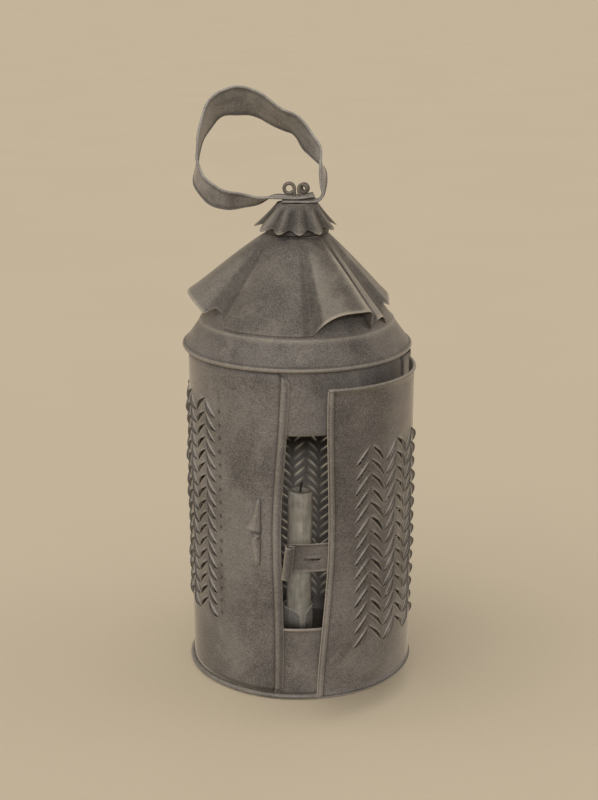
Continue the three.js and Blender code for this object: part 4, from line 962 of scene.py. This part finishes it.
def crownRuffle():
    (footR, footZ), (topR, topZ) = ruffle["foot"], ruffle["top"]
    count = ruffle["pleats"] * ruffle["pleatSteps"]
    angles = np.linspace(0, 360, count, endpoint=False)
    pleat = (angles - ruffle["phase"]) / 360 * ruffle["pleats"] + 0.5
    index = np.floor(pleat).astype(int) % ruffle["pleats"]
    size = dice.uniform(0.8, 1.15, ruffle["pleats"])[index]
    hang = dice.uniform(-0.7, 0.7, ruffle["pleats"])[index]
    phase = pleat - np.floor(pleat)
    fold = (0.5 - 0.5 * np.cos(2 * pi * phase)) ** 0.85
    t = np.concatenate([np.linspace(0, 0.95, 16), [0.975, 1.0]])
    a, s = np.meshgrid(angles, t, indexing="ij")
    deep = (size * fold)[:, None] * 2 - 1
    r = topR + (footR - topR) * s ** 1.15 + deep * ruffle["depth"] * s ** 0.55
    z = topZ + (footZ - topZ) * s - deep * ruffle["drop"] * s - (hang * fold)[:, None] * s ** 2 * 0.6
    z = z + ruffle["sideLift"] * np.abs(np.sin(np.radians(a))) ** 5 * s ** 1.5
    # the lower edge lighter, rubbed; pleat crests lighter and hollows darker, painted highlight and painted
    # shade
    wornAndPaintedLight = np.clip(softStep(0.93, 0.99, s) * 0.5 + (0.65 * deep - 0.35) * softStep(0.05, 0.35, s), -0.9, 1)
    points = onCircle(r, a, z) - np.array([ruffle["leanLeft"], 0, 0]) * s[:, :, None]
    piece = buildMesh("crownRuffle", [(points, wornAndPaintedLight, gridFaces(count, len(t), closedAcross=True))], flip=True)
    thicken(piece, 0.4, inside=1)
    dress(piece, "lantern", ["crown_ruffle"], "roof_tin", shadedHoodTin, litInnerTin)


roofCone()
ventHood()
crownCap()
crownRuffle()
print("roof ready")


# Ring strap: a hemmed strip that leaves the crown, goes once round and comes back over itself.
# The loop's outline is a circle with waves, each a size and a direction.
ring = dict(radius=38.2, waves=[(7.9, -114.5), (5.6, -35.3), (3.5, -26.5), (2.3, 44.9)], centre=(-25.1, 37.0),
            lean=31.0, fromAngle=-33, toAngle=266, turns=22, width=20.2, swing=6.8, widest=115, edgeWire=0.95,
            web=0.42, seat=323.25, layer=2.25, flatRight=9, flatLeft=16, tailLower=10, tailUpper=11,
            clear=12.0, untwist=22, uneven=0.3, shoulder=3.6, shoulderAt=27, shoulderSpan=20, steps=300)
# how far the strip is turned about its own line: angle round the loop, turn
cants = [(-33, -24), (-20, -16), (-3, 20), (12, 22), (40, 11), (80, 11), (112, 19), (142, 9), (170, 0),
         (192, -4), (212, -20), (232, -30), (266, -8)]


def onLoop(angle):
    radius = ring["radius"]
    for k, (size, at) in enumerate(ring["waves"]):
        radius += size * cos((k + 1) * radians(angle - at))
    radius += ring["shoulder"] * float(bump(angle, ring["shoulderAt"], ring["shoulderSpan"]))
    across, up = ring["centre"]
    return (across + radius * cos(radians(angle)), up + radius * sin(radians(angle)))


def cantAt(angle):
    if angle <= cants[0][0]:
        return cants[0][1]
    for (fromAngle, fromCant), (toAngle, toCant) in zip(cants, cants[1:]):
        if angle <= toAngle:
            return fromCant + (toCant - fromCant) * float(softStep(fromAngle, toAngle, angle))
    return cants[-1][1]


def strapRoute():
    startAcross, startUp = onLoop(ring["fromAngle"])
    # the strip bends up from the crown into the loop
    corner = []
    acrosses = (ring["flatRight"], startAcross - 1, startAcross, startAcross)
    ups = (0, 0, startUp * 0.35, startUp)
    for t in (0.3, 0.6, 1.0):
        weights = ((1 - t) ** 3, 3 * t * (1 - t) ** 2, 3 * t * t * (1 - t), t ** 3)
        across = sum(w * v for w, v in zip(weights, acrosses))
        up = sum(w * v for w, v in zip(weights, ups))
        corner.append((across, up))
    span = ring["toAngle"] - ring["fromAngle"]
    loop = [onLoop(ring["fromAngle"] + span * (i + 1) / ring["turns"]) for i in range(ring["turns"])]
    lower = [(-ring["tailLower"], 0), (0, 0), (ring["flatRight"], 0)]
    upper = [(-ring["flatLeft"], 0.2), (0, 0.1), (ring["tailUpper"], 1.6)]
    lean = radians(ring["lean"])
    route = []
    for points, layer in ((lower + corner + loop, 0), (upper, ring["layer"])):
        for across, up in points:
            route.append((across, up * sin(lean), ring["seat"] + up * cos(lean) + layer))
    return route


def strapOutline(width):
    # across and proud of the strap's middle, with how rubbed each point is and its painted highlight and
    # shade
    wire, web = ring["edgeWire"], ring["web"]
    half = width / 2 - wire
    inner = half - wire * 1.3
    outline = []
    for facing in (0, 180):
        side = 1 if facing == 0 else -1
        for turn in np.linspace(-150, 150, 11):
            t = radians(facing + turn)
            # the edge wire lighter on its outer face, partly rubbing and partly painted highlight, with
            # painted shade where it turns in
            outline.append((side * half + wire * cos(t), wire * sin(t), 0.3 - 1.1 * abs(turn) / 150))
        for u in np.linspace(side * inner, -side * inner, 9):
            # painted shade lines beside the edge wires
            outline.append((u, side * web, -0.6 * (abs(abs(u) - inner) < 0.01)))
    return outline


def ringStrap():
    centres, length = smoothPath(strapRoute(), ring["steps"])
    along = np.gradient(centres, axis=0)
    along /= np.linalg.norm(along, axis=1)[:, None]
    lean = radians(ring["lean"])
    planeNormal = np.array([0, -cos(lean), sin(lean)])
    rings, wornAndPaintedLight = [], []
    for i, (centre, tangent) in enumerate(zip(centres, along)):
        run = i * length / (ring["steps"] - 1)
        foot = min(abs(run - ring["tailLower"]), abs(length - ring["tailUpper"] - run))
        flat = 1 - float(softStep(ring["clear"], ring["clear"] + ring["untwist"], foot))
        up = (centre[2] - ring["seat"]) / cos(lean) - ring["centre"][1]
        angle = np.degrees(atan2(up, centre[0] - ring["centre"][0]))
        if angle < (ring["fromAngle"] + ring["toAngle"]) / 2 - 180:
            angle += 360
        cant = radians(cantAt(angle))
        across = planeNormal * cos(cant) + np.cross(tangent, planeNormal) * sin(cant)
        across = across * (1 - flat) + np.array([0, -1, 0]) * flat
        face = np.cross(tangent, across)
        face /= np.linalg.norm(face)
        side = np.cross(face, tangent)
        width = ring["width"] + ring["swing"] * cos(radians(angle - ring["widest"]))
        outline = strapOutline(width)
        # hand-cut edges wander a little, each in its own way
        wander = []
        for start in (0.4, 2.9):
            wave = sin(run * 0.31 + start) + 0.6 * sin(run * 0.17 + 2 * start)
            wander.append(ring["uneven"] * (1 - flat) * wave)
        bent = 0.4 * (1 - flat) * sin(run * 0.23 + 1.0)
        section = []
        for u, v, _ in outline:
            shifted = u + (wander[0] if u > 0 else wander[1])
            section.append(centre + side * shifted + face * (v + bent))
        rings.append(section)
        wornAndPaintedLight.append([rubAndPaintedLight for _, _, rubAndPaintedLight in outline])
    rings, wornAndPaintedLight = np.array(rings), np.array(wornAndPaintedLight)
    count = rings.shape[1]
    faces = gridFaces(len(rings), count, closedUp=True)
    end = (len(rings) - 1) * count
    faces.append(tuple(range(count))[::-1])
    faces.append(tuple(range(end, end + count)))
    piece = buildMesh("ringStrap", [(rings, wornAndPaintedLight, faces)])
    dress(piece, "handle", ["ring_strap"], "roof_tin", litHandleTin)


# Eye wire: hooked under the cap, one plain curl on the left and a turned-back coil on the right
wire = dict(radius=1.2, leg=1.9, bottom=316.0, curl=3.4, level=331.2, coil=2.6, coilAt=3.5, coilStep=2.3,
            coilTurn=740)


def eyeWire():
    leg, level, curl = wire["leg"], wire["level"], wire["curl"]
    left = []
    for turn in np.linspace(330, 0, 30):
        r = curl * (1 - 0.08 * turn / 330)
        left.append((r * cos(radians(turn)) - leg - curl, -0.6 * turn / 330, level + r * sin(radians(turn))))
    under = [(-leg, 0, z) for z in np.linspace(level - 1.2, wire["bottom"] + 2, 6)]
    bight = [(-leg * cos(a), 0, wire["bottom"] - leg * sin(a)) for a in np.linspace(0.2, pi - 0.2, 8)]
    axis = np.array([0.36, 0.93, 0.0])
    across = np.array([0.93, -0.36, 0.0])
    toCoil = wire["coilAt"] - across[0] * wire["coil"]
    rise = []
    for t in np.linspace(0, 1, 6):
        up = wire["bottom"] + 2 + (level - 3.2 - wire["bottom"]) * t
        rise.append((leg + (toCoil - leg) * t ** 2, 0, up))
    coil = []
    for turn in np.linspace(0, wire["coilTurn"], 80):
        t = radians(turn)
        middle = np.array([toCoil, 0, level]) + across * wire["coil"] + axis * wire["coilStep"] * turn / 360
        coil.append(middle - across * wire["coil"] * cos(t) + np.array([0, 0, 1]) * wire["coil"] * sin(t))
    path, _ = smoothPath(left + under + bight + rise + coil, 300)
    piece = buildMesh("eyeWire", [wireBlock(path, wire["radius"], 12, 0.2)])
    dress(piece, "handle", ["eye_wire"], "wire", drawnWire)


ringStrap()
eyeWire()
print("ring ready")


# Candle, wick and socket
candle = dict(radius=8.8, top=121.5, bottom=1.3, lean=0.9, shift=0.4, wick=0.76, wickTop=127.0)
socket = dict(radius=10.3, bottom=1.15, top=36.2, seamAngle=19.0, seamWidth=3.3, seamNarrows=1.6, corner=8.0)
candleShift = Matrix.Translation((candle["shift"] * mm, 0, 0))
candleTurn = candleShift @ Matrix.Rotation(radians(candle["lean"]), 4, "Y")


def slump(a, r, z):
    # the burnt top is a little out of round and slants
    nearTop = softStep(candle["top"] - 16, candle["top"], z)
    turn = np.radians(a)
    r = r * (1 + nearTop * 0.012 * np.sin(turn * 2 + 0.7)) + 0.1 * np.sin(z * 0.13 + turn) * (r > 4)
    return r, z + nearTop * 0.5 * np.sin(turn + 2.2) * (r > 1.5)


def candleBody():
    r, top, bottom = candle["radius"], candle["top"], candle["bottom"]
    profile = [[0, bottom], [r - 0.6, bottom], [r, bottom + 0.6]]
    profile += [[r, z] for z in np.linspace(6, top - 2.4, 40)]
    profile += [[r - 0.15, top - 1.2], [r - 0.6, top - 0.35], [r - 1.4, top - 0.02], [r - 2.3, top - 0.3],
                [r - 3.6, top - 1.1], [3.2, top - 1.7], [1.6, top - 1.6], [1.15, top - 1.3], [0, top - 1.4]]
    piece = buildMesh("candleBody", [latheBlock(profile, 0.0, 72, wave=slump)])
    piece.data.transform(candleTurn)
    dress(piece, "candle_unit", ["candle"], "wax", agedWax)


def candleWick():
    top = candle["top"]
    route = [(0, 0, top - 2.8), (0, 0, top - 1), (0.1, 0, top + 1.5), (0.5, -0.1, top + 3.4),
             (0.75, -0.1, candle["wickTop"] - 0.4)]
    path, _ = smoothPath(route, 24)
    piece = buildMesh("candleWick", [wireBlock(path, candle["wick"], 10, 0.0)])
    piece.data.transform(candleTurn)
    dress(piece, "candle_unit", ["wick"], "wick", charredWick)


def candleSocket():
    outer = socket["radius"]
    half = arcOf(socket["seamWidth"] / 2, outer)
    angles = np.linspace(socket["seamAngle"] + half, socket["seamAngle"] + 360 - half, 120)
    run = np.minimum(angles - angles[0], angles[-1] - angles) * radians(1) * outer
    short = np.maximum(0, socket["corner"] - run)
    top = socket["top"] - socket["corner"] + np.sqrt(np.maximum(0, socket["corner"] ** 2 - short ** 2))
    t = np.concatenate([np.linspace(0, 0.93, 22), [0.95, 0.97, 0.985, 1.0]])
    a = np.broadcast_to(angles[:, None], (len(angles), len(t)))
    # the seam closes a little towards the foot
    side = np.sign(180 + socket["seamAngle"] - angles)
    narrow = (socket["seamNarrows"] * np.exp(-run / 6) * side)[:, None] * (1 - t)[None, :]
    z = socket["bottom"] + (top[:, None] - socket["bottom"]) * t[None, :]
    crease = 0.12 * np.sin(np.radians(a) * 17) + 0.08 * np.sin(np.radians(a) * 29 + 1)
    points = onCircle(outer + crease * t[None, :], a - arcOf(narrow, outer), z)
    points = points + np.array([candle["shift"], 0, 0])
    topRub = softStep(0.96, 0.99, np.broadcast_to(t, a.shape))
    seamRub = 0.9 * bump(run, 0.2, 0.7)
    wornAndPaintedLight = np.maximum(topRub, seamRub[:, None])
    piece = buildMesh("candleSocket", [(points, wornAndPaintedLight, gridFaces(len(angles), len(t)))])
    thicken(piece, sheet, inside=1)
    dress(piece, "lantern", ["candle_socket"], "inner_tin", litSocketTin, litInnerTin)


candleBody()
candleWick()
candleSocket()
print("candle ready")


# Hinge leaves and pins keep their CAD shape and get the same finishes
for node, finish in {
    "body_hinge_lower": bodyTin, "body_hinge_upper": bodyTin,
    "door_hinge_lower": shadedDoorTin, "door_hinge_upper": shadedDoorTin,
    "hinge_pin_lower": drawnWire, "hinge_pin_upper": drawnWire,
}.items():
    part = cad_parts[node]
    part.data.materials.clear()
    part.data.materials.append(finish)
print("hinges finished")


# Floor, light and camera
paper = dict(size=30.0, level=-0.0002, dark=(197, 181, 155), light=(200, 184, 158))


def paperFloor():
    size = paper["size"]
    corners = [(-size, -size, 0), (size, -size, 0), (size, size, 0), (-size, size, 0)]
    mesh = bpy.data.meshes.new("floor")
    mesh.from_pydata(corners, [], [(0, 1, 2, 3)])
    floor = bpy.data.objects.new("floor", mesh)
    bpy.context.scene.collection.objects.link(floor)
    floor.location.z = paper["level"]
    finish, tree, shader = newFinish("paperTan")
    place = objectPlace(tree)
    cloud = rampNode(tree, noiseNode(tree, place, 3.0, 4, 0.6), 0.3, 0.7)
    fibre = rampNode(tree, noiseNode(tree, place, 260.0, 2, 0.6), 0.3, 0.7)
    both = blendNode(tree, cloud, fibre, 0.6)
    tone = mixColour(tree, both, sRgb(*paper["dark"]), sRgb(*paper["light"]))
    feedInputs(tree, shader, Base_Color=tone, Roughness=0.95, Specular_IOR_Level=0.0)
    mesh.materials.append(finish)


# each sun: energy, tilt and width
lighting = dict(world=0.62, backdrop=(196, 180, 154), keySun=(0.95, (50, 0, -48), 85),
                fillSun=(1.0, (67.8, 0, 0), 6), edgeSun=(0.6, (82, 0, 84), 50))


def addSun(name, energy, tilt, angle):
    lamp = bpy.data.lights.new(name, "SUN")
    lamp.energy = energy
    lamp.angle = radians(angle)
    sun = bpy.data.objects.new(name, lamp)
    sun.rotation_euler = [radians(v) for v in tilt]
    bpy.context.scene.collection.objects.link(sun)


def lightRoom():
    world = bpy.data.worlds.new("softRoom")
    world.use_nodes = True
    bpy.context.scene.world = world
    tree = world.node_tree
    light = tree.nodes["Background"]
    feedInputs(tree, light, Color=(1, 1, 1, 1), Strength=lighting["world"])
    # what the camera, metal and glass see beyond the floor has the floor's colour
    backdrop = addNode(tree, "ShaderNodeBackground")
    feedInputs(tree, backdrop, Color=sRgb(*lighting["backdrop"]))
    rays = addNode(tree, "ShaderNodeLightPath").outputs
    mirrored = mathNode(tree, "MAXIMUM", rays["Is Glossy Ray"], rays["Is Transmission Ray"])
    seen = mathNode(tree, "MAXIMUM", rays["Is Camera Ray"], mirrored)
    either = addNode(tree, "ShaderNodeMixShader")
    for socket, source in zip(either.inputs, (seen, light.outputs[0], backdrop.outputs[0])):
        feed(tree, socket, source)
    feedInputs(tree, tree.nodes["World Output"], Surface=either.outputs[0])
    for name in ("keySun", "fillSun", "edgeSun"):
        addSun(name, *lighting[name])


# the picture's view, with the camera's place in metres
view = dict(place=(0, -0.986, 0.482), pitch=16.67, lens=68.0, sensor=36.0, shiftX=0.00225, clipEnd=100)


def placeCamera():
    lensData = bpy.data.cameras.new("viewer")
    lensData.lens = view["lens"]
    lensData.sensor_width = view["sensor"]
    lensData.shift_x = view["shiftX"]
    lensData.clip_end = view["clipEnd"]
    camera = bpy.data.objects.new("viewer", lensData)
    camera.location = view["place"]
    camera.rotation_euler = (radians(90 - view["pitch"]), 0, 0)
    bpy.context.scene.collection.objects.link(camera)
    bpy.context.scene.camera = camera


paperFloor()
lightRoom()
placeCamera()
bpy.context.scene.view_settings.view_transform = "Standard"
print("floor, light and camera placed")
